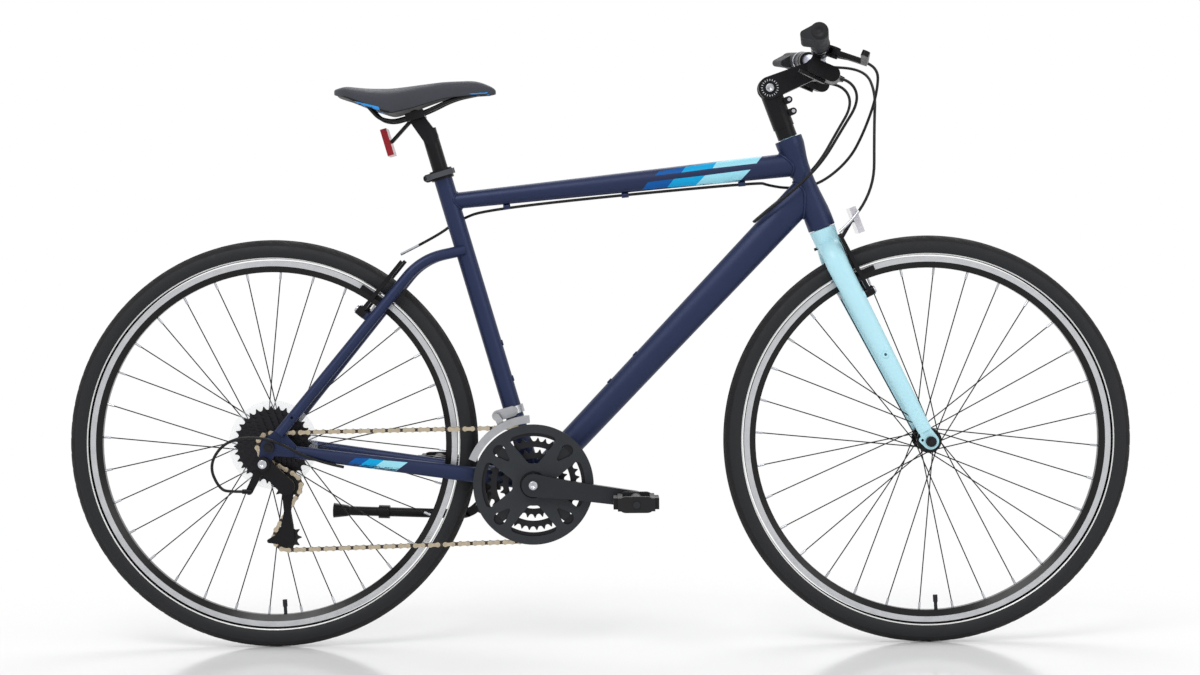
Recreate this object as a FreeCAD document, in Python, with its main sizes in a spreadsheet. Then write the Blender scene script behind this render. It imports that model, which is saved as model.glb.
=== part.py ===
import FreeCAD, Part
import math
import os
from types import SimpleNamespace

import Sketcher
from FreeCAD import Placement, Rotation, Vector

# Driving sizes in millimetres, angles in degrees. The part stands on the ground, +X forward, +Y to its left,
# +Z up, with the origin on the ground half way between the axles.
SIZES = {
    # layout
    "tyre_separation": 422.0,
    "shell_ahead_of_tyre": 101.0,
    "bottom_bracket_drop": 68.0,
    "seat_angle": 73.7,
    "head_angle": 69.5,
    "crown_above_tyre": 52.0,
    "fork_rake": 40.0,
    "running_clearance": 0.08,
    "working_gap": 0.4,
    # wheels
    "bead_seat_radius": 311.0,
    "tyre_height": 40.0,
    "tyre_width": 39.0,
    "tyre_wall": 2.6,
    "tube_wall_gap": 1.0,
    "inner_tube_wall": 1.2,
    "rim_width": 24.0,
    "rim_flange_height": 4.5,
    "rim_flange_wall": 2.0,
    "rim_depth": 20.0,
    "rim_wall": 1.8,
    "rim_keel_width": 12.0,
    "valve_radius": 3.0,
    "valve_length": 42.0,
    "valve_cap_radius": 4.0,
    "valve_cap_length": 12.0,
    "spoke_radius": 1.0,
    "spoke_rim_stagger": 2.5,
    "spoke_side_gap": 0.6,
    "nipple_radius": 2.1,
    "nipple_length": 12.0,
    "nipple_end_gap": 0.3,
    "axle_radius": 4.5,
    "axle_collar_radius": 8.0,
    "axle_collar_width": 3.0,
    "axle_nut_radius": 9.0,
    "axle_nut_width": 9.0,
    "axle_tip_length": 3.0,
    "flange_width": 3.0,
    "flange_rim": 3.5,
    "front_hub_width": 100.0,
    "front_flange_offset": 34.0,
    "front_spoke_circle": 18.0,
    "front_hub_barrel_radius": 12.0,
    "front_hub_cap_radius": 10.5,
    "rear_hub_width": 135.0,
    "rear_flange_left": 36.0,
    "rear_flange_right": 17.0,
    "rear_spoke_circle": 20.0,
    "rear_hub_barrel_radius": 14.0,
    "rear_hub_cap_radius": 12.0,
    "hub_end_radius": 19.0,
    "hub_right_end": 22.8,
    "spoke_guard_radius": 76.0,
    "spoke_guard_wall": 0.8,
    # frame tubes
    "tube_wall": 1.8,
    "head_tube_length": 164.0,
    "head_tube_bore": 15.6,
    "head_bearing_radius": 20.9,
    "head_bearing_height": 7.5,
    "head_foot_radius": 23.8,
    "head_waist_radius": 17.6,
    "head_crown_radius": 24.0,
    "head_edge_round": 1.0,
    "headset_gap": 1.5,
    "seat_tube_length": 560.0,
    "seat_tube_radius": 15.9,
    "top_tube_below_seat_top": 57.0,
    "top_tube_head_point": 117.5,
    "top_tube_seat_height": 28.0,
    "top_tube_seat_width": 28.0,
    "top_tube_head_height": 41.0,
    "top_tube_head_width": 32.0,
    "down_tube_head_point": 68.7,
    "down_tube_foot_height": 45.0,
    "down_tube_foot_width": 42.0,
    "down_tube_head_height": 55.0,
    "down_tube_head_width": 35.0,
    "shell_radius": 20.0,
    "shell_width": 68.0,
    "shell_bore": 17.0,
    "chain_stay_shell_offset": 23.0,
    "chain_stay_shell_height": 28.0,
    "chain_stay_shell_width": 15.0,
    "chain_stay_end_height": 21.0,
    "chain_stay_end_width": 15.0,
    "chain_stay_end_offset": 75.0,
    "chain_stay_end_ahead": 44.0,
    "chain_stay_end_below": 9.0,
    "seat_stay_radius": 9.3,
    "seat_stay_end_offset": 77.0,
    "seat_stay_end_ahead": 17.0,
    "seat_stay_end_above": 22.0,
    "seat_stay_knee_gap": 56.63,
    "seat_stay_knee_angle": 50.825,
    "seat_stay_tyre_gap": 11.5,
    "seat_stay_top_above_tyre": 65.0,
    "seat_stay_top_offset": 12.0,
    "seat_stay_bend_radius": 110.0,
    "dropout_wall": 6.0,
    "dropout_radius": 15.0,
    "dropout_arm_radius": 8.0,
    "dropout_tongue": 10.0,
    "hanger_behind": 10.5,
    "hanger_below": 28.5,
    "hanger_radius": 10.0,
    "eyelet_radius": 5.5,
    "screw_radius": 2.5,
    "screw_depth": 10.0,
    "rack_eyelet_up": 35.0,
    "boss_radius": 5.0,
    "boss_stand": 1.6,
    "boss_depth": 12.0,
    "seat_boss_low": 181.0,
    "down_boss_low": 215.0,
    "boss_spacing": 64.0,
    "guide_length": 12.0,
    "guide_radius": 4.6,
    "guide_wall_shift": 4.0,
    "collar_radius": 19.6,
    "collar_height": 17.0,
    "collar_bolt_radius": 3.0,
    "collar_ear_reach": 12.0,
    "collar_ear_radius": 6.5,
    "collar_ear_width": 22.0,
    "collar_ear_slot": 3.0,
    "cam_radius": 5.0,
    "cam_pin_radius": 2.2,
    "cam_height": 9.0,
    "cam_offset": 19.0,
    "collar_lever_length": 46.0,
    "collar_lever_radius": 4.2,
    "collar_lever_height": 10.0,
    # fork and steering
    "steerer_radius": 14.3,
    "steerer_wall": 2.6,
    "steerer_above_head": 58.0,
    "crown_boss_radius": 23.0,
    "crown_boss_foot_radius": 21.0,
    "crown_drop": 17.0,
    "crown_thick": 24.0,
    "blade_tyre_gap": 19.5,
    "blade_top_depth": 39.0,
    "blade_top_width": 23.0,
    "blade_end_depth": 24.0,
    "blade_end_width": 14.0,
    "blade_end_stop": 20.0,
    "blade_wall": 2.4,
    "fork_dropout_wall": 6.0,
    "fork_dropout_radius": 14.0,
    "fork_eyelet_behind": 14.0,
    "fork_eyelet_above": 2.0,
    "mid_eyelet_up": 167.0,
    "spacer_radius": 17.0,
    "spacer_height": 20.0,
    "stem_base_radius": 18.5,
    "stem_base_height": 62.0,
    "stem_bolt_low": 21.0,
    "stem_ear_reach": 12.0,
    "stem_ear_radius": 6.0,
    "stem_ear_width": 20.0,
    "stem_neck_radius": 15.0,
    "stem_bolt_radius": 3.0,
    "stem_bolt_spacing": 21.0,
    "stem_pivot_rise": 92.0,
    "stem_pivot_radius": 19.5,
    "stem_knuckle_width": 22.0,
    "stem_width": 40.0,
    "stem_arm_length": 86.0,
    "stem_arm_angle": 22.0,
    "stem_arm_radius": 15.5,
    "stem_clamp_radius": 19.5,
    "stem_clamp_width": 44.0,
    "stem_clamp_split": 1.6,
    "pivot_bolt_radius": 7.0,
    "pivot_bolt_stand": 3.0,
    "bar_radius": 11.1,
    "bar_clamp_radius": 12.7,
    "bar_clamp_length": 60.0,
    "bar_wall": 2.2,
    "bar_flat": 42.0,
    "bar_bend_end": 96.0,
    "bar_rise": 22.0,
    "bar_tip_rise": 38.0,
    "bar_tip_back": 21.0,
    "bar_half_width": 306.0,
    "bar_bend_radius": 70.0,
    "grip_length": 128.0,
    "grip_radius": 15.0,
    "grip_end_wall": 4.0,
    "grip_ring_radius": 16.5,
    "grip_ring_width": 9.0,
    "grip_wing_reach": 24.0,
    "grip_wing_drop": 4.0,
    "grip_wing_radius": 6.5,
    "grip_wing_length": 88.0,
    "bracket_from_grip": 14.0,
    "bracket_radius": 15.5,
    "bracket_width": 20.0,
    "lever_pivot_ahead": 27.0,
    "lever_pivot_radius": 2.5,
    "lever_boss_radius": 7.0,
    "lever_fork_wall": 4.0,
    "lever_thick": 9.0,
    "lever_reach": 80.0,
    "lever_knee_out": 28.0,
    "lever_length": 122.0,
    "lever_finger_radius": 5.0,
    "lever_tip_radius": 6.5,
    "lever_tilt": 24.0,
    "pod_length": 40.0,
    "pod_radius": 13.0,
    "pod_below": 30.0,
    "pod_ahead": 48.0,
    "pod_gap": 8.0,
    "thumb_pin_radius": 3.0,
    "thumb_thick": 5.0,
    "thumb_length": 34.0,
    "thumb_radius": 6.5,
    # brakes
    "stud_below_bead": 37.0,
    "stud_offset": 40.0,
    "stud_radius": 4.0,
    "stud_base_radius": 7.5,
    "stud_base_length": 6.0,
    "stud_length": 17.0,
    "brake_arm_length": 106.0,
    "brake_arm_boss_radius": 8.0,
    "brake_arm_radius": 6.0,
    "brake_arm_tip_radius": 5.0,
    "brake_arm_thick": 6.4,
    "pad_below_bead": 1.5,
    "pad_length": 56.0,
    "pad_height": 8.0,
    "pad_wall": 11.0,
    "pad_gap": 2.0,
    "pad_post_radius": 4.0,
    # crank and chain
    "chain_line": 58.5,
    "chain_pitch": 12.7,
    "roller_radius": 3.87,
    "pin_radius": 1.75,
    "pin_clearance": 0.1,
    "inner_half_width": 1.2,
    "link_plate": 1.0,
    "link_gap": 0.12,
    "pin_stand": 0.2,
    "link_end_radius": 4.2,
    "link_waist": 2.9,
    "tooth_height": 2.4,
    "tooth_tip": 0.6,
    "tooth_clearance": 0.14,
    "sprocket_wall": 1.8,
    "cog_pitch": 4.8,
    "cassette_carrier_radius": 17.0,
    "lockring_width": 3.0,
    "lockring_radius": 15.5,
    "ring_wall": 2.0,
    "ring_pitch": 7.5,
    "big_ring_bore": 82.0,
    "middle_ring_bore": 63.0,
    "small_ring_bore": 43.0,
    "spider_radius": 88.0,
    "spider_wall": 3.4,
    "spider_arm_radius": 8.0,
    "spider_bolt_radius": 4.0,
    "middle_bolt_circle": 68.0,
    "small_bolt_circle": 49.0,
    "guard_radius": 102.5,
    "guard_wall": 2.8,
    "guard_gap": 1.0,
    "guard_bore": 23.0,
    "guard_window_outer": 88.0,
    "guard_window_inner": 36.0,
    "guard_arm_half": 11.0,
    "guard_corner": 7.0,
    "guard_foot_radius": 4.0,
    "crank_length": 175.0,
    "crank_hub_radius": 19.5,
    "crank_arm_radius": 15.5,
    "crank_eye_radius": 13.5,
    "crank_arm_wall": 14.0,
    "crank_arm_inner": 69.5,
    "crank_cap_radius": 10.0,
    "crank_cap_stand": 1.5,
    "spindle_radius": 8.5,
    "cup_radius": 21.0,
    "cup_width": 3.0,
    "pedal_spindle_radius": 6.0,
    "pedal_spindle_length": 98.0,
    "pedal_gap": 3.0,
    "pedal_width": 92.0,
    "pedal_barrel_radius": 12.0,
    "pedal_depth": 62.0,
    "pedal_height": 27.0,
    "pedal_cage_wall": 8.0,
    "pedal_end_wall": 9.0,
    "pedal_reflector_wall": 7.0,
    "pedal_reflector_length": 52.0,
    "pedal_reflector_height": 19.0,
    # rear and front derailleur
    "guide_pulley_ahead": 29.0,
    "guide_pulley_below": 67.0,
    "pulley_spacing": 88.0,
    "pulley_bore": 2.6,
    "pulley_hub_radius": 8.0,
    "pulley_hub_half": 3.2,
    "cage_plate": 1.6,
    "cage_half_width": 4.6,
    "cage_arm_radius": 11.0,
    "cage_waist_radius": 5.5,
    "cage_end_radius": 13.5,
    "cage_tail_radius": 3.5,
    "cage_tail_back": 30.0,
    "cage_tail_below": 6.0,
    "cage_pivot_radius": 5.0,
    "derailleur_knuckle_radius": 12.5,
    "derailleur_foot_radius": 14.0,
    "derailleur_link_radius": 7.0,
    "derailleur_outer": 88.0,
    "derailleur_link_wall": 5.0,
    "barrel_radius": 4.0,
    "barrel_length": 16.0,
    "shifter_clamp_height": 128.0,
    "shifter_clamp_width": 13.0,
    "shifter_clamp_radius": 19.5,
    "shifter_block_back": 27.0,
    "shifter_block_radius": 9.0,
    "shifter_block_outer": 34.0,
    "shifter_block_inner": 18.0,
    "shifter_pin_radius": 3.2,
    "shifter_pin_tail": 20.0,
    "shifter_cage_inner_radius": 105.0,
    "shifter_cage_outer_radius": 118.0,
    "shifter_cage_half": 5.6,
    "shifter_cage_plate": 1.3,
    "shifter_bridge_height": 4.0,
    # seat
    "post_radius": 13.6,
    "post_length": 300.0,
    "post_exposed": 72.0,
    "post_wall": 2.5,
    "clamp_back": 20.5,
    "clamp_up": 20.5,
    "clamp_radius": 16.0,
    "clamp_half_width": 17.0,
    "clamp_jaw_outer": 29.0,
    "rail_radius": 3.5,
    "rail_spread": 22.0,
    "saddle_length": 281.0,
    "saddle_half_width": 80.0,
    "saddle_height": 59.0,
    "saddle_behind_clamp": 140.0,
    "saddle_above_clamp": 4.0,
    "reflector_wall": 11.0,
    "rear_reflector_width": 62.0,
    "rear_reflector_height": 47.0,
    "front_reflector_width": 60.0,
    "front_reflector_height": 46.0,
    "reflector_arm_width": 12.0,
    "reflector_arm_wall": 3.0,
    # kickstand
    "stand_pin_radius": 5.0,
    "stand_leg_radius": 8.0,
    "stand_foot_radius": 13.0,
    "stand_foot_length": 26.0,
    "stand_foot_wall": 1.5,
    "stand_ring_radius": 11.5,
    "stand_ring_length": 19.0,
    "stand_ring_from_foot": 76.0,
    "stand_boss_radius": 12.0,
    "stand_boss_width": 16.0,
    "stand_bracket_back": 74.0,
    "stand_bracket_wall": 7.0,
    "stand_bracket_width": 38.0,
    "stand_bracket_length": 34.0,
    "stand_pivot_back": 90.0,
    "stand_pivot_below": 38.0,
    "stand_pivot_offset": 50.0,
    "stand_elbow_back": 26.0,
    "stand_elbow_below": 24.0,
    "stand_elbow_out": 4.0,
    "stand_leg_reach": 250.0,
    "stand_leg_below": 17.0,
    "stand_leg_out": 14.0,
    "rear_reflector_back": 48.0,
    "rear_reflector_below": 43.0,
    "front_reflector_ahead": 47.0,
    "front_reflector_above": 42.0,
    # cables
    "cable_radius": 2.5,
    "cable_lead": 14.0,
    "noodle_radius": 2.2,
}

# Counts and shares that carry no length.
SPOKES_PER_SIDE = 16
SPOKE_CROSSINGS = 3
CHAINRING_TEETH = (48, 38, 28)
COG_TEETH = (11, 13, 15, 18, 21, 24, 28, 32)
PULLEY_TEETH = 11
CRANK_DROP_ANGLE = 8.0
VALVE_ANGLE = -87.0
RUN_SHARE = 0.45
STRAIGHT_HALF_ANGLE = math.radians(89.9)
CAGE_START_ANGLE = -95.0
SPIDER_ARMS = 4
GUARD_ROOT_SHARE = 1.5
GUARD_TIP_SHARE = 2.4
GUARD_HOLE_SHARES = (2.4, 0.6, 0.3, 0.95)
GUARD_FOOT_SHARE = 1.6
CRANK_WAIST_SHARE = 0.35
STAY_STOP_SHARE = 0.8

X_AXIS = Vector(1, 0, 0)
Y_AXIS = Vector(0, 1, 0)
Z_AXIS = Vector(0, 0, 1)
ZERO = Vector(0, 0, 0)
SIDE_VIEW = Placement(ZERO, Rotation(X_AXIS, 90))


class Size(float):
    """A number from the sheet that also carries the expression which works it out."""

    def __new__(cls, value, text):
        size = float.__new__(cls, value)
        size.text = text
        return size

    def __add__(self, other):
        return joined(self, "+", other, float(self) + float(other))

    def __radd__(self, other):
        return joined(other, "+", self, float(other) + float(self))

    def __sub__(self, other):
        return joined(self, "-", other, float(self) - float(other))

    def __rsub__(self, other):
        return joined(other, "-", self, float(other) - float(self))

    def __mul__(self, other):
        return joined(self, "*", other, float(self) * float(other))

    def __rmul__(self, other):
        return joined(other, "*", self, float(other) * float(self))

    def __truediv__(self, other):
        return joined(self, "/", other, float(self) / float(other))

    def __neg__(self):
        return Size(-float(self), "(-1 * " + self.text + ")")


def joined(first, sign, second, value):
    texts = [part.text if isinstance(part, Size) else repr(float(part)) for part in (first, second)]
    return Size(value, "(" + texts[0] + " " + sign + " " + texts[1] + ")")


os.makedirs("parts", exist_ok=True)
doc = FreeCAD.newDocument("hybrid_bike")
sheet = doc.addObject("Spreadsheet::Sheet", "sizes")
for row, (alias, amount) in enumerate(SIZES.items(), start=1):
    sheet.set("A" + str(row), alias)
    sheet.set("B" + str(row), str(amount))
    sheet.setAlias("B" + str(row), alias)
doc.recompute()
d = SimpleNamespace(**{alias: Size(sheet.get(alias), "sizes." + alias) for alias in SIZES})
nodes = []


def aim(origin, axis, across=None):
    """Placement whose local Z runs along axis and whose local X leans towards across."""
    axis = Vector(axis).normalize()
    if across is None:
        across = X_AXIS if abs(axis.y) > abs(axis.x) else Y_AXIS
    x_dir = (across - axis * across.dot(axis)).normalize()
    return Placement(origin, Rotation(x_dir, axis.cross(x_dir), axis, "ZXY"))


def give(obj, **sizes):
    for prop, size in sizes.items():
        if isinstance(size, Size):
            obj.setExpression(prop, size.text)
        else:
            setattr(obj, prop, float(size))


def node(label, obj):
    obj.Label = label
    nodes.append(obj)
    return obj


def solid(shape, name="piece"):
    obj = doc.addObject("Part::Feature", name)
    obj.Shape = shape
    return obj


def cylinder(radius, height, origin, axis):
    obj = doc.addObject("Part::Cylinder", "cylinder")
    give(obj, Radius=radius, Height=height)
    obj.Placement = aim(origin, axis)
    return obj


def cone(start_radius, end_radius, height, origin, axis):
    obj = doc.addObject("Part::Cone", "cone")
    give(obj, Radius1=start_radius, Radius2=end_radius, Height=height)
    obj.Placement = aim(origin, axis)
    return obj


def cut(base, *tools):
    for tool in tools:
        obj = doc.addObject("Part::Cut", "cut")
        obj.Base = base
        obj.Tool = tool
        base = obj
    return base


def fuse(*pieces):
    obj = doc.addObject("Part::MultiFuse", "fuse")
    obj.Shapes = list(pieces)
    return obj


def together(*pieces):
    obj = doc.addObject("Part::Compound", "set")
    obj.Links = list(pieces)
    return obj


def mirrored(source):
    obj = doc.addObject("Part::Mirroring", "mirror")
    obj.Source = source
    obj.Normal = Y_AXIS
    obj.Base = ZERO
    return obj


def draw_outline(sketch, outline):
    """Closed outline of straight lines whose corners are tied to the sheet."""
    count = len(outline)
    for index in range(count):
        start, end = outline[index], outline[(index + 1) % count]
        line = Part.LineSegment(Vector(start[0], start[1], 0), Vector(end[0], end[1], 0))
        sketch.addGeometry(line, False)
    for index in range(count):
        sketch.addConstraint(Sketcher.Constraint("Coincident", index, 2, (index + 1) % count, 1))
    for index, corner in enumerate(outline):
        for kind, own_axis, amount in (("DistanceX", -2, corner[0]), ("DistanceY", -1, corner[1])):
            if float(amount) == 0:
                sketch.addConstraint(Sketcher.Constraint("PointOnObject", index, 1, own_axis))
                continue
            spot = sketch.addConstraint(Sketcher.Constraint(kind, -1, 1, index, 1, float(amount)))
            if isinstance(amount, Size):
                sketch.setExpression("Constraints[" + str(spot) + "]", amount.text)


def turned(name, outline, origin, axis):
    """Body turned about its own Z axis from (radius, height) corners."""
    body = doc.addObject("PartDesign::Body", name)
    sketch = body.newObject("Sketcher::SketchObject", name + "_outline")
    planes = [plane for plane in body.Origin.OriginFeatures if plane.Role == "XZ_Plane"]
    sketch.AttachmentSupport = [(planes[0], "")]
    sketch.MapMode = "FlatFace"
    draw_outline(sketch, outline)
    turn = body.newObject("PartDesign::Revolution", name + "_turn")
    turn.Profile = sketch
    turn.ReferenceAxis = (sketch, ["V_Axis"])
    turn.Angle = 360
    body.Placement = aim(origin, axis)
    return body


def oval_loft(start, end, start_size, end_size, upright):
    """Solid between two ovals given as (long, short) diameters, the long one along upright."""
    sections = []
    for spot, (long_size, short_size) in ((start, start_size), (end, end_size)):
        oval = doc.addObject("Part::Ellipse", "oval")
        give(oval, MajorRadius=long_size / 2, MinorRadius=short_size / 2)
        oval.Placement = aim(spot, end - start, upright)
        sections.append(oval)
    obj = doc.addObject("Part::Loft", "loft")
    obj.Sections = sections
    obj.Solid = True
    return obj


def oval_tube(start, end, start_size, end_size, wall, upright, *trims):
    skin = oval_loft(start, end, start_size, end_size, upright)
    hollow = oval_loft(
        start, end, [size - wall * 2 for size in start_size], [size - wall * 2 for size in end_size], upright)
    return cut(cut(skin, *trims), hollow)


def capsule(first, second, first_radius, second_radius):
    """Flat outline around two circles and the lines that touch both."""
    along = second - first
    heading = math.atan2(along.y, along.x)
    lean = math.acos((float(first_radius) - float(second_radius)) / along.Length)

    def spot(centre, radius, angle):
        return centre + Vector(radius * math.cos(angle), radius * math.sin(angle), 0)

    start, end = spot(first, first_radius, heading + lean), spot(first, first_radius, heading - lean)
    far_start, far_end = spot(second, second_radius, heading - lean), spot(second, second_radius, heading + lean)
    edges = [
        Part.Arc(start, spot(first, first_radius, heading + math.pi), end).toShape(),
        Part.LineSegment(end, far_start).toShape(),
        Part.Arc(far_start, spot(second, second_radius, heading), far_end).toShape(),
        Part.LineSegment(far_end, start).toShape(),
    ]
    return Part.Face(Part.Wire(edges))


def holed(outside, inside):
    return Part.makeFace([outside, inside], "Part::FaceMakerBullseye")


def slab(face, low, high):
    lifted = face.copy()
    lifted.translate(Vector(0, 0, low))
    return lifted.extrude(Vector(0, 0, float(high) - float(low)))


def chain_of(spots, radii, low, high):
    """Flat bar through several round spots, from height low to high in its own frame."""
    pieces = [slab(capsule(spots[i], spots[i + 1], radii[i], radii[i + 1]), low, high)
              for i in range(len(spots) - 1)]
    return pieces[0] if len(pieces) == 1 else pieces[0].multiFuse(pieces[1:]).removeSplitter()


def rod(radius, start, end):
    return Part.makeCylinder(radius, (end - start).Length, start, end - start)


def across(radius, x, z, start, end):
    """Round bar along Y, from start to end."""
    return rod(radius, Vector(x, start, z), Vector(x, end, z))


def placed(shape, placement):
    shape = shape.copy()
    shape.Placement = placement.multiply(shape.Placement)
    return shape


def route(spots, bend=None):
    """Straight runs joined by tangent arcs, each of radius bend or else as large as its two runs allow."""
    edges = []
    start = spots[0]
    for before, corner, after in zip(spots, spots[1:], spots[2:]):
        inward, outward = (before - corner), (after - corner)
        shorter = min(inward.Length, outward.Length)
        inward.normalize()
        outward.normalize()
        reach = RUN_SHARE * shorter
        half = math.acos(max(-1.0, min(1.0, inward.dot(outward)))) / 2
        if half > STRAIGHT_HALF_ANGLE:
            continue
        if bend is not None:
            reach = min(reach, bend / math.tan(half))
        middle = (inward + outward).normalize()
        radius = reach * math.tan(half)
        centre_reach = reach / math.cos(half)
        begin, end = corner + inward * reach, corner + outward * reach
        bow = corner + middle * (centre_reach - radius)
        edges.append(Part.LineSegment(start, begin).toShape())
        edges.append(Part.Arc(begin, bow, end).toShape())
        start = end
    edges.append(Part.LineSegment(start, spots[-1]).toShape())
    return Part.Wire(edges)


def cord(spots, radius, bend=None):
    path = route(spots, bend)
    first = spots[1] - spots[0]
    ring = Part.Wire([Part.makeCircle(radius, spots[0], first)])
    return path.makePipeShell([ring], True, False)


# Layout points that several sub-parts share.
tyre_radius = d.bead_seat_radius + d.tyre_height
wheelbase = tyre_radius * 2 + d.tyre_separation
rear_centre = tyre_radius + d.shell_ahead_of_tyre
fork_length = tyre_radius + d.crown_above_tyre
stud_circle = d.bead_seat_radius - d.stud_below_bead
pad_circle = d.bead_seat_radius - d.pad_below_bead
blade_spread = d.tyre_width / 2 + d.blade_tyre_gap
seat_stay_knee_offset = d.tyre_width / 2 + d.seat_stay_tyre_gap
seat_stay_top_point = tyre_radius + d.seat_stay_top_above_tyre
top_tube_seat_point = d.seat_tube_length - d.top_tube_below_seat_top
rear_axle = Vector(-wheelbase / 2, 0, tyre_radius)
front_axle = Vector(wheelbase / 2, 0, tyre_radius)
bracket_run = math.sqrt(rear_centre ** 2 - d.bottom_bracket_drop ** 2)
crank_centre = rear_axle + Vector(bracket_run, 0, -d.bottom_bracket_drop)
seat_tilt = math.radians(d.seat_angle)
seat_dir = Vector(-math.cos(seat_tilt), 0, math.sin(seat_tilt))
seat_back = Vector(-math.sin(seat_tilt), 0, -math.cos(seat_tilt))
head_tilt = math.radians(d.head_angle)
head_dir = Vector(-math.cos(head_tilt), 0, math.sin(head_tilt))
head_front = Vector(math.sin(head_tilt), 0, math.cos(head_tilt))
crown_point = front_axle - head_front * d.fork_rake + head_dir * fork_length
head_foot = crown_point + head_dir * d.headset_gap
head_top = head_foot + head_dir * d.head_tube_length
seat_top = crank_centre + seat_dir * d.seat_tube_length
top_tube_rear = crank_centre + seat_dir * top_tube_seat_point
top_tube_front = head_foot + head_dir * d.top_tube_head_point
down_tube_front = head_foot + head_dir * d.down_tube_head_point
rim_outer = d.bead_seat_radius + d.rim_flange_height
rim_inner = rim_outer - d.rim_depth
rear_side = d.rear_hub_width / 2
front_side = d.front_hub_width / 2


def side_point(spot):
    """Side view position of a point, as flat (x, z) for outlines placed with SIDE_VIEW."""
    return Vector(spot.x, spot.z, 0)


def side_slab(face, inner, outer):
    """Flat piece seen from the drive side, from inner to outer distance on that side."""
    return placed(slab(face, inner, outer), SIDE_VIEW)


def head_tube_outline():
    length, foot, waist, top = d.head_tube_length, d.head_foot_radius, d.head_waist_radius, d.head_crown_radius
    pocket = d.head_bearing_radius + d.running_clearance
    # Height shares up the tube with the share of the waist in the radius there.
    lower = ((0.11, 0.0), (0.19, 0.1), (0.28, 0.37), (0.4, 0.72), (0.5, 0.93), (0.6, 1.0))
    upper = ((0.68, 0.96), (0.75, 0.78), (0.82, 0.45), (0.89, 0.12), (0.93, 0.0))
    outline = [(pocket, d.headset_gap * 0), (foot - d.head_edge_round, d.headset_gap * 0), (foot, d.head_edge_round)]
    outline += [(foot - (foot - waist) * share, length * height) for height, share in lower]
    outline += [(top - (top - waist) * share, length * height) for height, share in upper]
    outline += [(top, length - d.head_edge_round), (top - d.head_edge_round, length), (pocket, length)]
    inner_top = length - d.head_bearing_height
    outline += [(pocket, inner_top), (d.head_tube_bore, inner_top)]
    outline += [(d.head_tube_bore, d.head_bearing_height), (pocket, d.head_bearing_height)]
    return outline


def head_solid():
    """Head tube without its bore, for trimming the tubes that meet it."""
    skin = head_tube_outline()[1:-5]
    return turned("head_core", [(d.head_tube_bore * 0, skin[0][1])] + skin
                  + [(d.head_tube_bore * 0, skin[-1][1])], head_foot, head_dir)


def bearing_ring(low):
    outer = cylinder(d.head_bearing_radius, d.head_bearing_height, head_foot + head_dir * low, head_dir)
    inner = cylinder(d.steerer_radius + d.running_clearance, d.head_bearing_height,
                     head_foot + head_dir * low, head_dir)
    return cut(outer, inner)


def bottle_bosses(start, direction, outward, radius, low):
    """Two threaded inserts in a tube wall, and the holes they need."""
    inserts, holes = [], []
    for step in range(2):
        spot = start + direction * (low + d.boss_spacing * step) + outward * radius
        seat = spot + outward * d.boss_stand
        inserts.append(cylinder(d.boss_radius, d.boss_depth, seat, -outward))
        holes.append(cylinder(d.screw_radius, d.screw_depth, seat, -outward))
    return inserts, holes


def frame_tubes():
    head_core = head_solid()
    shell_core = cylinder(d.shell_radius, d.shell_width, crank_centre - Y_AXIS * (d.shell_width / 2), Y_AXIS)
    seat_core = cylinder(d.seat_tube_radius, d.seat_tube_length, crank_centre, seat_dir)
    node("head_tube", turned("head_tube_body", head_tube_outline(), head_foot, head_dir))

    shell_bore = cylinder(d.shell_bore + d.running_clearance, d.shell_width,
                          crank_centre - Y_AXIS * (d.shell_width / 2), Y_AXIS)
    node("bottom_bracket_shell", cut(shell_core, shell_bore))

    seat_bore = cylinder(d.post_radius + d.running_clearance, d.seat_tube_length, crank_centre, seat_dir)
    inserts, holes = bottle_bosses(crank_centre, seat_dir, -seat_back, d.seat_tube_radius, d.seat_boss_low)
    tube = cut(seat_core, shell_core, seat_bore)
    node("seat_tube", cut(fuse(tube, *inserts), *holes))

    upright = Vector(0, 0, 1)
    top_skin = oval_tube(top_tube_rear, top_tube_front, (d.top_tube_seat_height, d.top_tube_seat_width),
                         (d.top_tube_head_height, d.top_tube_head_width), d.tube_wall, upright,
                         head_core, seat_core)
    down_sizes = ((d.down_tube_foot_height, d.down_tube_foot_width),
                  (d.down_tube_head_height, d.down_tube_head_width))
    down_core = oval_loft(crank_centre, down_tube_front, *down_sizes, upright)
    down_skin = oval_tube(crank_centre, down_tube_front, *down_sizes, d.tube_wall, upright,
                          head_core, shell_core, seat_core)
    top_tube = cut(top_skin, down_core)
    node("top_tube", together(top_tube, *cable_guides()))
    along = (down_tube_front - crank_centre).normalize()
    over = Vector(-along.z, 0, along.x)
    share = d.down_boss_low / (down_tube_front - crank_centre).Length
    depth = d.down_tube_foot_height / 2 + (d.down_tube_head_height - d.down_tube_foot_height) / 2 * share
    inserts, holes = bottle_bosses(crank_centre, along, over, depth, d.down_boss_low)
    node("down_tube", cut(fuse(down_skin, *inserts), *holes))
    return head_core, shell_core, seat_core


def top_tube_under(share):
    """Point on the underside of the top tube, this share of the way to the head tube."""
    along = top_tube_front - top_tube_rear
    height = d.top_tube_seat_height + (d.top_tube_head_height - d.top_tube_seat_height) * share
    down = Vector(along.z, 0, -along.x).normalize()
    return top_tube_rear + along * share + down * (height / 2), down


GUIDE_SHARES = (0.16, 0.5, 0.835)


def guide_slope():
    """Direction along the underside of the top tube, where the cable runs."""
    return (top_tube_under(GUIDE_SHARES[-1])[0] - top_tube_under(GUIDE_SHARES[0])[0]).normalize()


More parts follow.
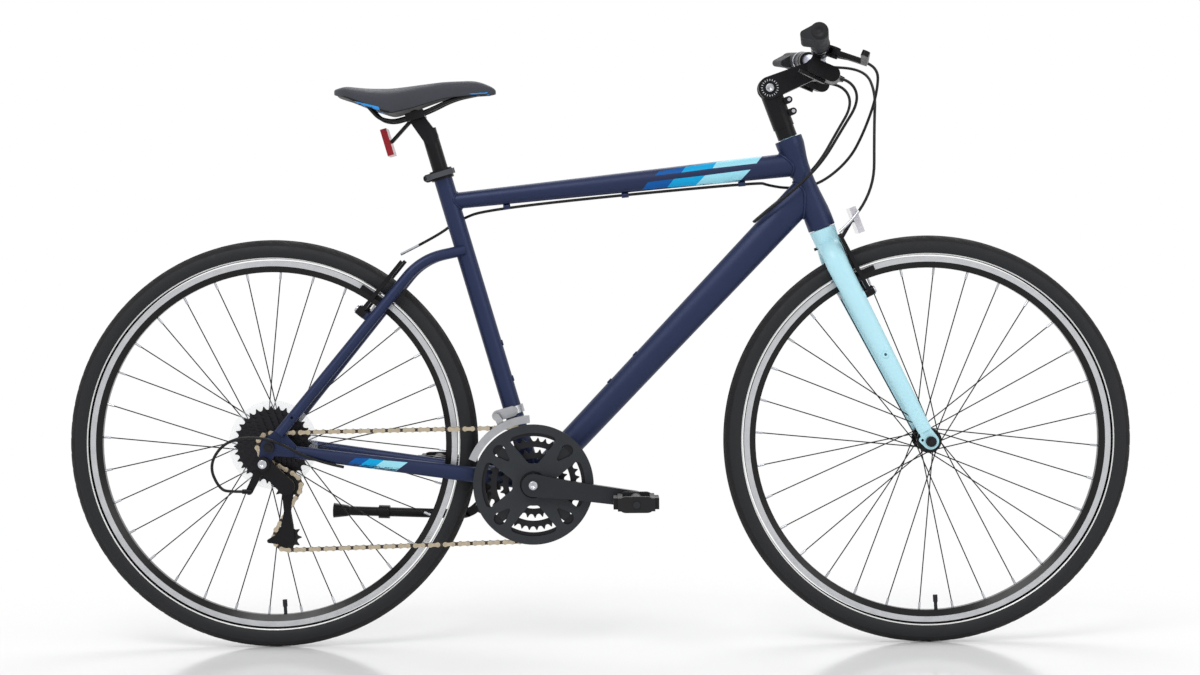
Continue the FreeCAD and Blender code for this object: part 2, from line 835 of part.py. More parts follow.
def cable_guides():
    """Clips under the top tube; the cable runs through their bores."""
    clips = []
    along = guide_slope()
    for share in GUIDE_SHARES:
        spot, down = top_tube_under(share)
        centre = spot + down * d.guide_wall_shift - along * (d.guide_length / 2)
        ring = cylinder(d.guide_radius, d.guide_length, centre, along)
        bore = cylinder(d.cable_radius + d.running_clearance, d.guide_length, centre, along)
        clips.append(cut(ring, bore, top_tube_core()))
    return clips


def top_tube_core():
    return oval_loft(top_tube_rear, top_tube_front, (d.top_tube_seat_height, d.top_tube_seat_width),
                     (d.top_tube_head_height, d.top_tube_head_width), Z_AXIS)


def chain_stay_end(side):
    return rear_axle + Vector(d.chain_stay_end_ahead, side * d.chain_stay_end_offset, -d.chain_stay_end_below)


def seat_stay_end(side):
    return rear_axle + Vector(d.seat_stay_end_ahead, side * d.seat_stay_end_offset, d.seat_stay_end_above)


def seat_stay_knee(side):
    tilt = math.radians(d.seat_stay_knee_angle)
    reach = tyre_radius + d.seat_stay_knee_gap
    return rear_axle + Vector(reach * math.cos(tilt), side * seat_stay_knee_offset, reach * math.sin(tilt))


def dropout(side):
    """Flat plate with arms that run into the ends of both stays."""
    centre = side_point(rear_axle)
    inner, outer = rear_side, rear_side + d.dropout_wall
    chain_end, seat_end = chain_stay_end(side), seat_stay_end(side)
    shell_end = crank_centre + Y_AXIS * (side * d.chain_stay_shell_offset)
    chain_in = chain_end + (shell_end - chain_end).normalize() * d.dropout_tongue
    seat_in = seat_end + (seat_stay_knee(side) - seat_end).normalize() * d.dropout_tongue
    pieces = [slab(capsule(centre, side_point(chain_in), d.dropout_radius, d.dropout_arm_radius), inner, outer),
              slab(capsule(centre, side_point(seat_in), d.dropout_radius, d.dropout_arm_radius), inner, outer),
              slab(capsule(side_point(chain_end), side_point(seat_end), d.dropout_arm_radius,
                           d.dropout_arm_radius), inner, outer)]
    if side < 0:
        hanger = centre + Vector(-d.hanger_behind, -d.hanger_below, 0)
        pieces.append(slab(capsule(centre, hanger, d.dropout_radius, d.hanger_radius), inner, outer))
    plate = pieces[0].multiFuse(pieces[1:]).removeSplitter()
    slot = Part.makeCylinder(d.axle_radius + d.running_clearance, outer - inner, Vector(centre.x, centre.y, inner))
    plate = placed(plate.cut(slot), SIDE_VIEW)
    return plate if side < 0 else plate.mirror(ZERO, Y_AXIS)


def on_circle(axle, start, direction, radius):
    """Point along a line in the side view at the given distance from the axle."""
    offset = Vector(start.x - axle.x, 0, start.z - axle.z)
    flat = Vector(direction.x, 0, direction.z)
    a, b, c = flat.dot(flat), 2 * offset.dot(flat), offset.dot(offset) - float(radius) ** 2
    share = (-b + math.sqrt(b * b - 4 * a * c)) / (2 * a)
    return start + direction * share


def flat_dir(direction):
    return Vector(direction.x, 0, direction.z).normalize()


def rear_brake_base(side):
    start = seat_stay_end(side)
    direction = seat_stay_knee(side) - start
    spot = on_circle(rear_axle, start, direction, stud_circle)
    along = flat_dir(direction)
    return aim(Vector(spot.x, side * d.stud_offset, spot.z), Vector(-along.z, 0, along.x), along)


def front_brake_base(side):
    start, end = blade_end(side), blade_top(side)
    spot = on_circle(front_axle, start, end - start, stud_circle)
    along = flat_dir(end - start)
    return aim(Vector(spot.x, side * d.stud_offset, spot.z), Vector(along.z, 0, -along.x), along)


def stud(base, stand):
    """Brake stud: a thick foot on the tube and the thin pin that the arm turns on."""
    foot = Part.makeCylinder(d.stud_base_radius, stand + d.stud_base_length)
    pin = Part.makeCylinder(d.stud_radius, d.stud_length, Vector(0, 0, stand + d.stud_base_length))
    return placed(foot.fuse(pin), base)


def stays(shell_core, seat_core):
    plates = [dropout(side) for side in (-1, 1)]
    node("rear_dropouts", together(*[solid(plate, "dropout") for plate in plates]))
    chain_stays, seat_stays = [], []
    for side, plate in zip((-1, 1), plates):
        shell_end = crank_centre + Y_AXIS * (side * d.chain_stay_shell_offset)
        end = chain_stay_end(side)
        plate_tool = solid(plate, "dropout_tool")
        skin = oval_loft(shell_end, end, (d.chain_stay_shell_height, d.chain_stay_shell_width),
                         (d.chain_stay_end_height, d.chain_stay_end_width), Z_AXIS)
        toward = (shell_end - end).normalize()
        inner_end = end + toward * (d.dropout_tongue * 2)
        wall = d.tube_wall * 2
        hollow = oval_loft(shell_end + toward * d.tube_wall, inner_end,
                           (d.chain_stay_shell_height - wall, d.chain_stay_shell_width - wall),
                           (d.chain_stay_end_height - wall, d.chain_stay_end_width - wall), Z_AXIS)
        chain_stays.append(cut(skin, hollow, shell_core, plate_tool))
        seat_stays.append(solid(seat_stay(side, plate), "seat_stay"))
    node("chain_stays", together(*chain_stays))
    node("seat_stays", together(*[cut(stay, seat_core) for stay in seat_stays]))


def seat_stay_path(side, start_in=0.0):
    start, knee = seat_stay_end(side), seat_stay_knee(side)
    joint = crank_centre + seat_dir * seat_stay_top_point + Y_AXIS * (side * d.seat_stay_top_offset)
    start = start + (knee - start).normalize() * start_in
    inward, outward = (start - knee).normalize(), (joint - knee).normalize()
    half = math.acos(inward.dot(outward)) / 2
    reach = d.seat_stay_bend_radius / math.tan(half)
    middle = (inward + outward).normalize()
    bow = knee + middle * (d.seat_stay_bend_radius / math.sin(half) - d.seat_stay_bend_radius)
    begin, end = knee + inward * reach, knee + outward * reach
    edges = [Part.LineSegment(start, begin).toShape(), Part.Arc(begin, bow, end).toShape(),
             Part.LineSegment(end, joint).toShape()]
    return start, begin, Part.Wire(edges)


def seat_stay(side, plate):
    start, begin, path = seat_stay_path(side)
    skin = path.makePipeShell([Part.Wire([Part.makeCircle(d.seat_stay_radius, start, begin - start)])], True, False)
    start, begin, path = seat_stay_path(side, d.dropout_tongue * 2)
    bore = Part.Wire([Part.makeCircle(d.seat_stay_radius - d.tube_wall, start, begin - start)])
    hollow = path.makePipeShell([bore], True, False)
    stud_piece = stud(rear_brake_base(side), d.seat_stay_radius - d.tube_wall / 2)
    stay = skin.fuse(stud_piece).cut(hollow).cut(plate)
    up = (seat_stay_knee(side) - seat_stay_end(side)).normalize()
    spot = seat_stay_end(side) + up * d.rack_eyelet_up
    outward = (Y_AXIS * side - up * up.dot(Y_AXIS * side)).normalize()
    seat = spot + outward * (d.seat_stay_radius + d.boss_stand)
    boss = Part.makeCylinder(d.eyelet_radius, d.boss_depth, seat, -outward)
    hole = Part.makeCylinder(d.screw_radius, d.screw_depth, seat, -outward)
    return stay.fuse(boss).cut(hole)


def blade_end(side):
    return front_axle + Y_AXIS * (side * (front_side + d.fork_dropout_wall / 2))


def arch_centre():
    return crown_point - head_dir * (d.crown_drop + d.crown_thick / 2 + blade_spread)


def blade_top(side):
    return arch_centre() + Y_AXIS * (side * blade_spread)


def fork():
    """Crown arch with the steerer in one piece, and two blades with their ends."""
    centre = arch_centre()
    ring = doc.addObject("Part::Ellipse", "arch_section")
    give(ring, MajorRadius=d.blade_top_depth / 2, MinorRadius=d.crown_thick / 2)
    ring.Placement = aim(centre - Y_AXIS * blade_spread, head_dir, head_front)
    doc.recompute()
    arch = Part.Face(Part.Wire(ring.Shape.Edges)).revolve(centre, head_front, -180)
    apex = centre + head_dir * blade_spread
    boss = Part.makeCone(d.crown_boss_foot_radius, d.crown_boss_radius, d.crown_thick / 2 + d.crown_drop,
                         apex, head_dir)
    steerer = Part.makeCylinder(d.steerer_radius, d.headset_gap + d.head_tube_length + d.steerer_above_head,
                                crown_point, head_dir)
    bridge_bolt = Part.makeCylinder(d.screw_radius, d.crown_boss_radius * 4,
                                    apex - head_front * d.crown_boss_radius * 2, head_front)
    steerer_bore = Part.makeCylinder(d.steerer_radius - d.steerer_wall, d.headset_gap + d.head_tube_length
                                     + d.steerer_above_head, crown_point, head_dir)
    crown = arch.fuse([boss, steerer]).removeSplitter().cut(bridge_bolt).cut(steerer_bore)
    node("fork_crown", solid(crown, "fork_crown"))

    above = Part.makeBox(d.blade_top_depth * 4, blade_spread * 6, d.blade_top_depth)
    above.translate(Vector(-d.blade_top_depth * 2, -blade_spread * 3, 0))
    above.Placement = aim(centre, head_dir, head_front).multiply(above.Placement)
    blades = []
    for side in (-1, 1):
        start, end = blade_top(side), blade_end(side)
        along = (end - start).normalize()
        stop = end - along * d.blade_end_stop
        start = start - along * d.dropout_tongue
        skin = oval_loft(start, stop, (d.blade_top_depth, d.crown_thick), (d.blade_end_depth, d.blade_end_width),
                         head_front)
        wall = d.blade_wall * 2
        hollow = oval_loft(start, stop - along * d.blade_end_stop,
                           (d.blade_top_depth - wall, d.crown_thick - wall),
                           (d.blade_end_depth - wall, d.blade_end_width - wall), head_front)
        doc.recompute()
        body = skin.Shape.fuse(stud(front_brake_base(side), d.blade_end_depth / 2))
        body = body.cut(hollow.Shape)
        flat_end = side_point(end)
        inner, outer = front_side, front_side + d.fork_dropout_wall
        plate = slab(capsule(flat_end, side_point(stop - along * d.dropout_tongue), d.fork_dropout_radius,
                             d.dropout_arm_radius), inner, outer)
        eyelet = flat_end + Vector(-d.fork_eyelet_behind, d.fork_eyelet_above, 0)
        plate = plate.fuse(slab(capsule(flat_end, eyelet, d.fork_dropout_radius, d.eyelet_radius), inner, outer))
        axle_hole = Part.makeCylinder(d.axle_radius + d.running_clearance, outer, flat_end)
        screw_hole = Part.makeCylinder(d.screw_radius, outer, eyelet)
        plate = placed(plate.cut(axle_hole).cut(screw_hole), SIDE_VIEW)
        if side > 0:
            plate = plate.mirror(ZERO, Y_AXIS)
        spot = end - along * d.mid_eyelet_up
        outward = (Y_AXIS * side - along * along.dot(Y_AXIS * side)).normalize()
        share = float(d.mid_eyelet_up) / (end - start).Length
        half = float(d.blade_end_width + (d.crown_thick - d.blade_end_width) * share) / 2
        seat = spot + outward * (half + d.boss_stand)
        boss = Part.makeCylinder(d.eyelet_radius, d.boss_depth, seat, -outward)
        hole = Part.makeCylinder(d.screw_radius, d.screw_depth, seat, -outward)
        keep = body.fuse([plate, boss]).cut(hole).cut(above)
        blades.append(solid(keep, "fork_blade"))
    node("fork_blades", together(*blades))


def seat_collar():
    low = seat_top - seat_dir * d.collar_height
    ring = Part.makeCylinder(d.collar_radius, d.collar_height, low, seat_dir)
    middle = low + seat_dir * (d.collar_height / 2)
    ear = middle + seat_back * (d.collar_radius + d.collar_ear_reach / 2)
    face = capsule(side_point(middle), side_point(ear), d.collar_ear_radius, d.collar_ear_radius)
    block = side_slab(face, -d.collar_ear_width / 2, d.collar_ear_width / 2)
    slot = Part.makeBox(d.collar_ear_reach * 3, d.collar_ear_slot, d.collar_height * 2)
    slot.translate(Vector(0, -d.collar_ear_slot / 2, -d.collar_height))
    slot.Placement = aim(middle + seat_back * (d.seat_tube_radius / 2), seat_dir, seat_back).multiply(slot.Placement)
    bore = Part.makeCylinder(d.seat_tube_radius, d.collar_height, low, seat_dir)
    collar = ring.fuse(block).cut(bore).cut(slot)
    bolt_start = ear - Y_AXIS * (d.cam_offset - d.cam_radius / 2)
    bolt = Part.makeCylinder(d.collar_bolt_radius, d.cam_offset + d.collar_ear_width, bolt_start, Y_AXIS)
    cam = ear - Y_AXIS * d.cam_offset
    nut = Part.makeCylinder(d.collar_ear_radius, d.collar_bolt_radius, ear + Y_AXIS * (d.collar_ear_width / 2), Y_AXIS)
    tip = ear + Y_AXIS * (d.collar_ear_width / 2 + d.collar_bolt_radius)
    bolt = bolt.cut(Part.makeCylinder(d.collar_ear_radius, d.collar_ear_width * 2, tip, Y_AXIS))
    pin = Part.makeCylinder(d.cam_pin_radius, d.cam_height, cam - seat_dir * (d.cam_height / 2), seat_dir)
    skewer = bolt.fuse([nut, pin])
    collar = collar.cut(bolt)
    node("seat_collar", together(solid(collar, "collar"), solid(skewer, "skewer")))

    tilt = aim(cam, seat_dir, -seat_back)
    bend = Vector(d.cam_radius * 2, -d.cam_radius, 0)
    arm = chain_of([ZERO, bend, Vector(d.collar_lever_length, -d.cam_radius, 0)],
                   [d.cam_radius, d.collar_lever_radius, d.collar_lever_radius],
                   -d.cam_height / 2, d.cam_height / 2)
    arm = arm.cut(Part.makeCylinder(d.cam_pin_radius + d.running_clearance, d.cam_height * 2,
                                    Vector(0, 0, -d.cam_height)))
    slit = Part.makeBox(d.cam_radius * 4, d.cam_radius * 4, (d.collar_bolt_radius + d.working_gap) * 2)
    slit.translate(Vector(-d.cam_radius * 2, -d.cam_radius * 2 + d.cam_radius,
                          -(d.collar_bolt_radius + d.working_gap)))
    ball = Part.makeCylinder(d.cam_radius + d.working_gap, (d.collar_bolt_radius + d.working_gap) * 2,
                             Vector(0, 0, -(d.collar_bolt_radius + d.working_gap)))
    arm = arm.cut(ball.common(slit).fuse(ball))
    node("seat_collar_lever", solid(placed(arm, tilt), "collar_lever"))


def bearings():
    upper = bearing_ring(d.head_tube_length - d.head_bearing_height)
    lower = bearing_ring(d.headset_gap * 0)
    start = crank_centre - Y_AXIS * (d.shell_width / 2 + d.cup_width)
    barrel = cylinder(d.shell_bore, d.shell_width + d.cup_width * 2, start, Y_AXIS)
    right_cup = cylinder(d.cup_radius, d.cup_width, start, Y_AXIS)
    left_cup = cylinder(d.cup_radius, d.cup_width, crank_centre + Y_AXIS * (d.shell_width / 2), Y_AXIS)
    bore = cylinder(d.spindle_radius + d.running_clearance, d.shell_width + d.cup_width * 2, start, Y_AXIS)
    node("bearings", together(upper, lower, cut(fuse(barrel, right_cup, left_cup), bore)))


def tyre(axle):
    """Open casing: an oval outside, an inner oval, and two straight beads inside the rim flanges."""
    bead = d.rim_width / 2 - d.rim_flange_wall - d.working_gap
    edge = rim_outer + d.working_gap * 2
    half = d.tyre_width / 2
    # Centre of the oval that passes through the bead edge and the crown.
    share = math.sqrt(1 - (float(bead) / float(half)) ** 2)
    middle = (float(edge) + share * float(tyre_radius)) / (1 + share)
    rise = float(tyre_radius) - middle

    def oval(radial, sideways, start):
        lean = math.asin(start / sideways)
        points = []
        for step in range(25):
            angle = (math.pi - lean) * (1 - 2 * step / 24)
            points.append(Vector(middle + radial * math.cos(angle), sideways * math.sin(angle), 0))
        curve = Part.BSplineCurve()
        curve.interpolate(points)
        return curve.toShape(), points

    outer_edge, outer = oval(rise, float(half), float(bead))
    inner_edge, inner = oval(rise - d.tyre_wall, float(half - d.tyre_wall), float(bead - d.tyre_wall))
    heel = d.bead_seat_radius + d.rim_wall
    corners = [outer[-1], Vector(heel, -bead, 0), Vector(heel, -bead + d.tyre_wall, 0), inner[-1]]
    far = [inner[0], Vector(heel, bead - d.tyre_wall, 0), Vector(heel, bead, 0), outer[0]]
    edges = [outer_edge] + [Part.LineSegment(corners[i], corners[i + 1]).toShape() for i in range(3)]
    edges += [inner_edge] + [Part.LineSegment(far[i], far[i + 1]).toShape() for i in range(3)]
    face = Part.Face(Part.Wire(Part.__sortEdges__(edges)))
    ring = face.revolve(ZERO, Y_AXIS, 360)
    ring.translate(axle)
    return ring, middle


def valve_direction():
    angle = math.radians(VALVE_ANGLE)
    return Vector(math.cos(angle), 0, math.sin(angle))


def rim(name, axle):
    half, keel, wall = d.rim_width / 2, d.rim_keel_width / 2, d.rim_wall
    bed = d.bead_seat_radius
    floor = bed - wall * 2
    outline = [(rim_inner, -keel), (bed - d.rim_depth / 4, -half), (rim_outer, -half),
               (rim_outer, -half + d.rim_flange_wall), (bed, -half + d.rim_flange_wall),
               (bed, half - d.rim_flange_wall), (rim_outer, half - d.rim_flange_wall), (rim_outer, half),
               (bed - d.rim_depth / 4, half), (rim_inner, keel)]
    cavity = [(rim_inner + wall, -keel), (bed - d.rim_depth / 4, -half + wall), (bed - wall, -half + wall),
              (bed - wall, half - wall), (bed - d.rim_depth / 4, half - wall), (rim_inner + wall, keel)]
    skin = turned(name, outline, axle, Y_AXIS)
    hollow = turned(name + "_hollow", cavity, axle, Y_AXIS)
    hole = cylinder(d.valve_radius + d.working_gap, d.rim_depth * 2, axle + valve_direction() * (rim_inner - wall),
                    valve_direction())
    return cut(skin, hollow, hole)


def inner_tube(axle, middle):
    """Air tube inside the tyre, with its valve through the rim."""
    ring = doc.addObject("Part::Torus", "air_tube")
    radius = d.tyre_height / 2 - d.tyre_wall - d.tube_wall_gap * 3
    give(ring, Radius1=middle, Radius2=radius)
    ring.Placement = aim(axle, Y_AXIS)
    air = doc.addObject("Part::Torus", "air_room")
    give(air, Radius1=middle, Radius2=radius - d.inner_tube_wall)
    air.Placement = aim(axle, Y_AXIS)
    out = valve_direction()
    top = axle + out * middle
    stem = cylinder(d.valve_radius, d.valve_length + d.tyre_height / 2, top, -out)
    cap_start = top - out * (d.valve_length + d.tyre_height / 2 - d.valve_cap_length)
    cap = cylinder(d.valve_cap_radius, d.valve_cap_length, cap_start, -out)
    return cut(fuse(ring, stem, cap), air)


def polar(axle, radius, angle, y):
    return axle + Vector(radius * math.cos(angle), y, radius * math.sin(angle))


def spokes(axle, circle, offsets):
    """Crossed spokes with their nipples; offsets are the flange centres on the right and the left."""
    step = 2 * math.pi / SPOKES_PER_SIDE
    start_angle = math.radians(VALVE_ANGLE) + step / 4
    pieces = []
    for side, offset in zip((-1, 1), offsets):
        for index in range(SPOKES_PER_SIDE):
            trailing = index % 2 == 0
            rim_angle = start_angle + index * step + (step / 2 if side > 0 else 0)
            swing = SPOKE_CROSSINGS * step * (1 if trailing else -1)
            clear = d.flange_width / 2 + d.spoke_radius + d.spoke_side_gap
            start_y = side * (offset + clear) if trailing else side * (offset - clear)
            start = polar(axle, circle, rim_angle - swing, start_y)
            end = polar(axle, rim_inner - d.nipple_end_gap, rim_angle, side * d.spoke_rim_stagger)
            inward = (start - end).normalize()
            nipple = Part.makeCylinder(d.nipple_radius, d.nipple_length, end, inward)
            bore = Part.makeCylinder(d.spoke_radius + d.running_clearance, d.nipple_length, end, inward)
            pieces.append(rod(d.spoke_radius, end, start))
            pieces.append(nipple.cut(bore))
    return Part.makeCompound(pieces)


def front_hub():
    flange, barrel, cap = d.front_spoke_circle + d.flange_rim, d.front_hub_barrel_radius, d.front_hub_cap_radius
    bore = d.axle_radius + d.running_clearance
    inner, outer = d.front_flange_offset - d.flange_width / 2, d.front_flange_offset + d.flange_width / 2
    end = d.front_hub_width / 2 - d.axle_collar_width - d.working_gap
    outline = [(bore, -end), (cap, -end), (cap, -outer), (flange, -outer), (flange, -inner), (barrel, -inner),
               (barrel, inner), (flange, inner), (flange, outer), (cap, outer), (cap, end), (bore, end)]
    return turned("front_hub_body", outline, front_axle, Y_AXIS)


def rear_hub():
    flange, barrel, cap = d.rear_spoke_circle + d.flange_rim, d.rear_hub_barrel_radius, d.rear_hub_cap_radius
    bore = d.axle_radius + d.running_clearance
    half = d.flange_width / 2
    left, right = d.rear_flange_left, d.rear_flange_right
    end = d.rear_hub_width / 2 - d.axle_collar_width - d.working_gap
    outline = [(bore, -d.hub_right_end), (d.hub_end_radius, -d.hub_right_end), (d.hub_end_radius, -right - half),
               (flange, -right - half), (flange, -right + half), (barrel, -right + half), (barrel, left - half),
               (flange, left - half), (flange, left + half), (cap, left + half), (cap, end), (bore, end)]
    guard_start = rear_axle - Y_AXIS * d.hub_right_end
    disc = cylinder(d.spoke_guard_radius, d.spoke_guard_wall, guard_start, Y_AXIS)
    hole = cylinder(d.hub_end_radius + d.running_clearance, d.spoke_guard_wall, guard_start, Y_AXIS)
    return together(turned("rear_hub_shell", outline, rear_axle, Y_AXIS), cut(disc, hole))


def axle(name, spot, side, wall):
    """Fixed axle with collars inside the ends of the frame and nuts outside."""
    pin, collar, nut = d.axle_radius, d.axle_collar_radius, d.axle_nut_radius
    outside = side + wall
    tip = outside + d.axle_nut_width + d.axle_tip_length
    half = [(pin, tip), (pin, outside + d.axle_nut_width), (nut, outside + d.axle_nut_width), (nut, outside),
            (pin, outside), (pin, side), (collar, side), (collar, side - d.axle_collar_width),
            (pin, side - d.axle_collar_width)]
    outline = [(pin * 0, -tip)] + [(radius, -height) for radius, height in half]
    outline += list(reversed(half)) + [(pin * 0, tip)]
    return turned(name, outline, spot, Y_AXIS)


def wheels():
    for name, spot in (("front", front_axle), ("rear", rear_axle)):
        casing, middle = tyre(spot)
        node(name + "_tyre", solid(casing, name + "_tyre"))
        node(name + "_inner_tube", inner_tube(spot, middle))
        node(name + "_rim", rim(name + "_rim_skin", spot))
    node("front_spokes", solid(spokes(front_axle, d.front_spoke_circle,
                                      (d.front_flange_offset, d.front_flange_offset)), "front_spokes"))
    node("rear_spokes", solid(spokes(rear_axle, d.rear_spoke_circle,
                                     (d.rear_flange_right, d.rear_flange_left)), "rear_spokes"))
    node("front_hub", front_hub())
    node("rear_hub", rear_hub())
    node("front_axle", axle("front_axle_body", front_axle, front_side, d.fork_dropout_wall))
    node("rear_axle", axle("rear_axle_body", rear_axle, rear_side, d.dropout_wall))


def stem_pivot():
    return head_top + head_dir * d.stem_pivot_rise


def arm_dir():
    tilt = math.radians(d.stem_arm_angle)
    return Vector(math.cos(tilt), 0, math.sin(tilt))


def bar_centre():
    return stem_pivot() + arm_dir() * d.stem_arm_length


def stem():
    pivot = stem_pivot()
    spacer = Part.makeCylinder(d.spacer_radius, d.spacer_height - d.headset_gap, head_top + head_dir * d.headset_gap,
                               head_dir)
    bore = Part.makeCylinder(d.steerer_radius, d.steerer_above_head, head_top, head_dir)
    spacer = spacer.cut(bore)
    base_low = head_top + head_dir * d.spacer_height
    base = Part.makeCylinder(d.stem_base_radius, d.stem_base_height, base_low, head_dir)
    half = d.stem_knuckle_width / 2
    centre = bar_centre()
    arm_room = side_slab(capsule(side_point(pivot), side_point(centre), d.stem_pivot_radius + d.working_gap,
                                 d.stem_arm_radius + d.working_gap), -d.stem_width, d.stem_width)
    neck = side_slab(capsule(side_point(base_low + head_dir * (d.stem_base_height / 2)), side_point(pivot),
                             d.stem_neck_radius, d.stem_neck_radius), -half, half)
    ears, bolts = [], []
    for step in range(2):
        rise = d.stem_bolt_low + d.stem_bolt_spacing * step
        spot = base_low + head_dir * rise
        ear = spot + head_front * (d.stem_base_radius + d.stem_ear_reach / 2)
        face = capsule(side_point(spot), side_point(ear), d.stem_ear_radius, d.stem_ear_radius)
        ears.append(side_slab(face, -d.stem_ear_width / 2, d.stem_ear_width / 2))
        head = d.stem_ear_width / 2 + d.stem_bolt_radius
        bolts.append(across(d.stem_bolt_radius, ear.x, ear.z, -head, head))
    slot = Part.makeBox(d.stem_base_radius * 3, d.stem_clamp_split, d.stem_base_height)
    slot.translate(Vector(0, -d.stem_clamp_split / 2, 0))
    slot.Placement = aim(base_low, head_dir, head_front).multiply(slot.Placement)
    base = base.fuse(ears).cut(arm_room).fuse(neck).cut(bore).cut(slot).cut(Part.makeCompound(bolts))

    full = d.stem_width / 2
    clamp_half = d.stem_clamp_width / 2
    arm = side_slab(capsule(side_point(pivot), side_point(centre), d.stem_pivot_radius, d.stem_arm_radius), -full, full)
    room = side_slab(capsule(side_point(pivot), side_point(pivot - head_dir * d.stem_width),
                             d.stem_pivot_radius + d.working_gap + d.stem_clamp_split,
                             d.stem_neck_radius + d.stem_clamp_split),
                     -half - d.working_gap / 4, half + d.working_gap / 4)
    pin = across(d.pivot_bolt_radius, pivot.x, pivot.z, -full - d.pivot_bolt_stand, full + d.pivot_bolt_stand)
    clamp = across(d.stem_clamp_radius, centre.x, centre.z, -clamp_half, clamp_half)
    clamp_bore = across(d.bar_clamp_radius, centre.x, centre.z, -clamp_half, clamp_half)
    split = Part.makeBox(d.stem_clamp_split, d.stem_clamp_width, d.stem_clamp_radius * 3)
    split.translate(Vector(d.bar_clamp_radius / 3, -clamp_half, -d.stem_clamp_radius * 1.5))
    split.Placement = aim(centre, Vector(-arm_dir().z, 0, arm_dir().x), arm_dir()).multiply(split.Placement)
    arm = arm.fuse(clamp).removeSplitter().cut(room).cut(clamp_bore).cut(pin).cut(split)
    base = base.cut(pin)
    pieces = [solid(piece, "stem_piece") for piece in [spacer, base, pin] + bolts + arm.Solids]
    node("stem", together(*pieces))


def bar_spots(side):
    centre = bar_centre()
    return [centre + Y_AXIS * (side * d.bar_flat),
            centre + Vector(0, side * d.bar_bend_end, d.bar_rise),
            centre + Vector(-d.bar_tip_back, side * d.bar_half_width, d.bar_tip_rise)]


def grip_dir(side):
    spots = bar_spots(side)
    return (spots[2] - spots[1]).normalize()


def bar_spot(side, inward):
    """Point on the bar axis, this far in from its end."""
    return bar_spots(side)[2] - grip_dir(side) * inward


def handlebar():
    spots = list(reversed(bar_spots(-1))) + bar_spots(1)
    skin = cord(spots, d.bar_radius, d.bar_bend_radius)
    bore = cord(spots, d.bar_radius - d.bar_wall, d.bar_bend_radius)
    half = d.bar_clamp_length / 2
    centre = bar_centre()
    sleeve = across(d.bar_clamp_radius, centre.x, centre.z, -half, half)
    return node("handlebar", solid(skin.fuse(sleeve).cut(bore), "handlebar"))


def grip(side):
    """Closed-end grip with a palm wing behind the bar and a clamp ring at its inner end."""
    out = grip_dir(side)
    inner = bar_spot(side, d.grip_length - d.grip_end_wall)
    frame = aim(inner, out, -X_AXIS)
    body = Part.makeCylinder(d.grip_radius, d.grip_length)
    down = frame.Rotation.inverted().multVec(Vector(0, 0, -1))
    tip = Vector(d.grip_wing_reach, down.y * d.grip_wing_drop, 0)
    wing = slab(capsule(ZERO, tip, d.grip_radius - d.grip_end_wall / 4, d.grip_wing_radius),
                d.grip_length - d.grip_wing_length, d.grip_length)
    bore = Part.makeCylinder(d.bar_radius, d.grip_length - d.grip_end_wall)
    rubber = body.fuse(wing).removeSplitter().cut(bore)
    ring = Part.makeCylinder(d.grip_ring_radius, d.grip_ring_width, Vector(0, 0, -d.grip_ring_width))
    ring = ring.cut(Part.makeCylinder(d.bar_radius, d.grip_ring_width, Vector(0, 0, -d.grip_ring_width)))
    return [solid(placed(piece, frame), "grip_piece") for piece in (rubber, ring)]


def lever_frame(side):
    """Frame at the lever bracket: X outwards along the bar, Y ahead and down, Z across the lever."""
    spot = bar_spot(side, d.grip_length + d.grip_ring_width + d.bracket_from_grip + d.bracket_width / 2)
    tilt = math.radians(d.lever_tilt)
    ahead = Vector(math.cos(tilt), 0, -math.sin(tilt))
    out = grip_dir(side)
    ahead = (ahead - out * ahead.dot(out)).normalize()
    normal = out.cross(ahead)
    return aim(spot, normal, out), normal


def lever_bracket(side):
    frame, normal = lever_frame(side)
    half = d.bracket_width / 2
    ring = Part.makeCylinder(d.bracket_radius, d.bracket_width, Vector(-half, 0, 0), X_AXIS)
    pivot = Vector(half, d.lever_pivot_ahead, 0)
    fork_half = d.lever_thick / 2 + d.working_gap
    cheeks = chain_of([Vector(0, d.bracket_radius / 2, 0), pivot], [d.lever_boss_radius, d.lever_boss_radius],
                      -fork_half - d.lever_fork_wall, fork_half + d.lever_fork_wall)
    room = slab(capsule(pivot, pivot + Vector(d.lever_length, 0, 0), d.lever_boss_radius + d.working_gap * 2,
                        d.lever_reach), -fork_half, fork_half)
    room = room.cut(Part.makeCylinder(d.bracket_radius, d.bracket_width, Vector(-half, 0, 0), X_AXIS))
    pin = Part.makeCylinder(d.lever_pivot_radius, (fork_half + d.lever_fork_wall) * 2,
                            pivot - Z_AXIS * (fork_half + d.lever_fork_wall))
    entry = Part.makeCylinder(d.barrel_radius, d.barrel_length,
                              Vector(-half, d.lever_pivot_ahead * RUN_SHARE * 2, 0), -X_AXIS)
    nose = chain_of([Vector(-half, d.bracket_radius / 2, 0), Vector(-half, d.lever_pivot_ahead * RUN_SHARE * 2, 0)],
                    [d.lever_boss_radius, d.lever_boss_radius], -fork_half, fork_half)
    body = ring.fuse([cheeks, nose]).cut(room).fuse([pin, entry])
    body = body.cut(Part.makeCylinder(d.bar_radius, d.bracket_width * 4, Vector(-d.bracket_width * 2, 0, 0), X_AXIS))
    pod = shifter_pod(side)
    return [placed(piece, frame) for piece in [body] + pod]


def down_sign(side):
    frame, normal = lever_frame(side)
    return -1 if normal.z > 0 else 1


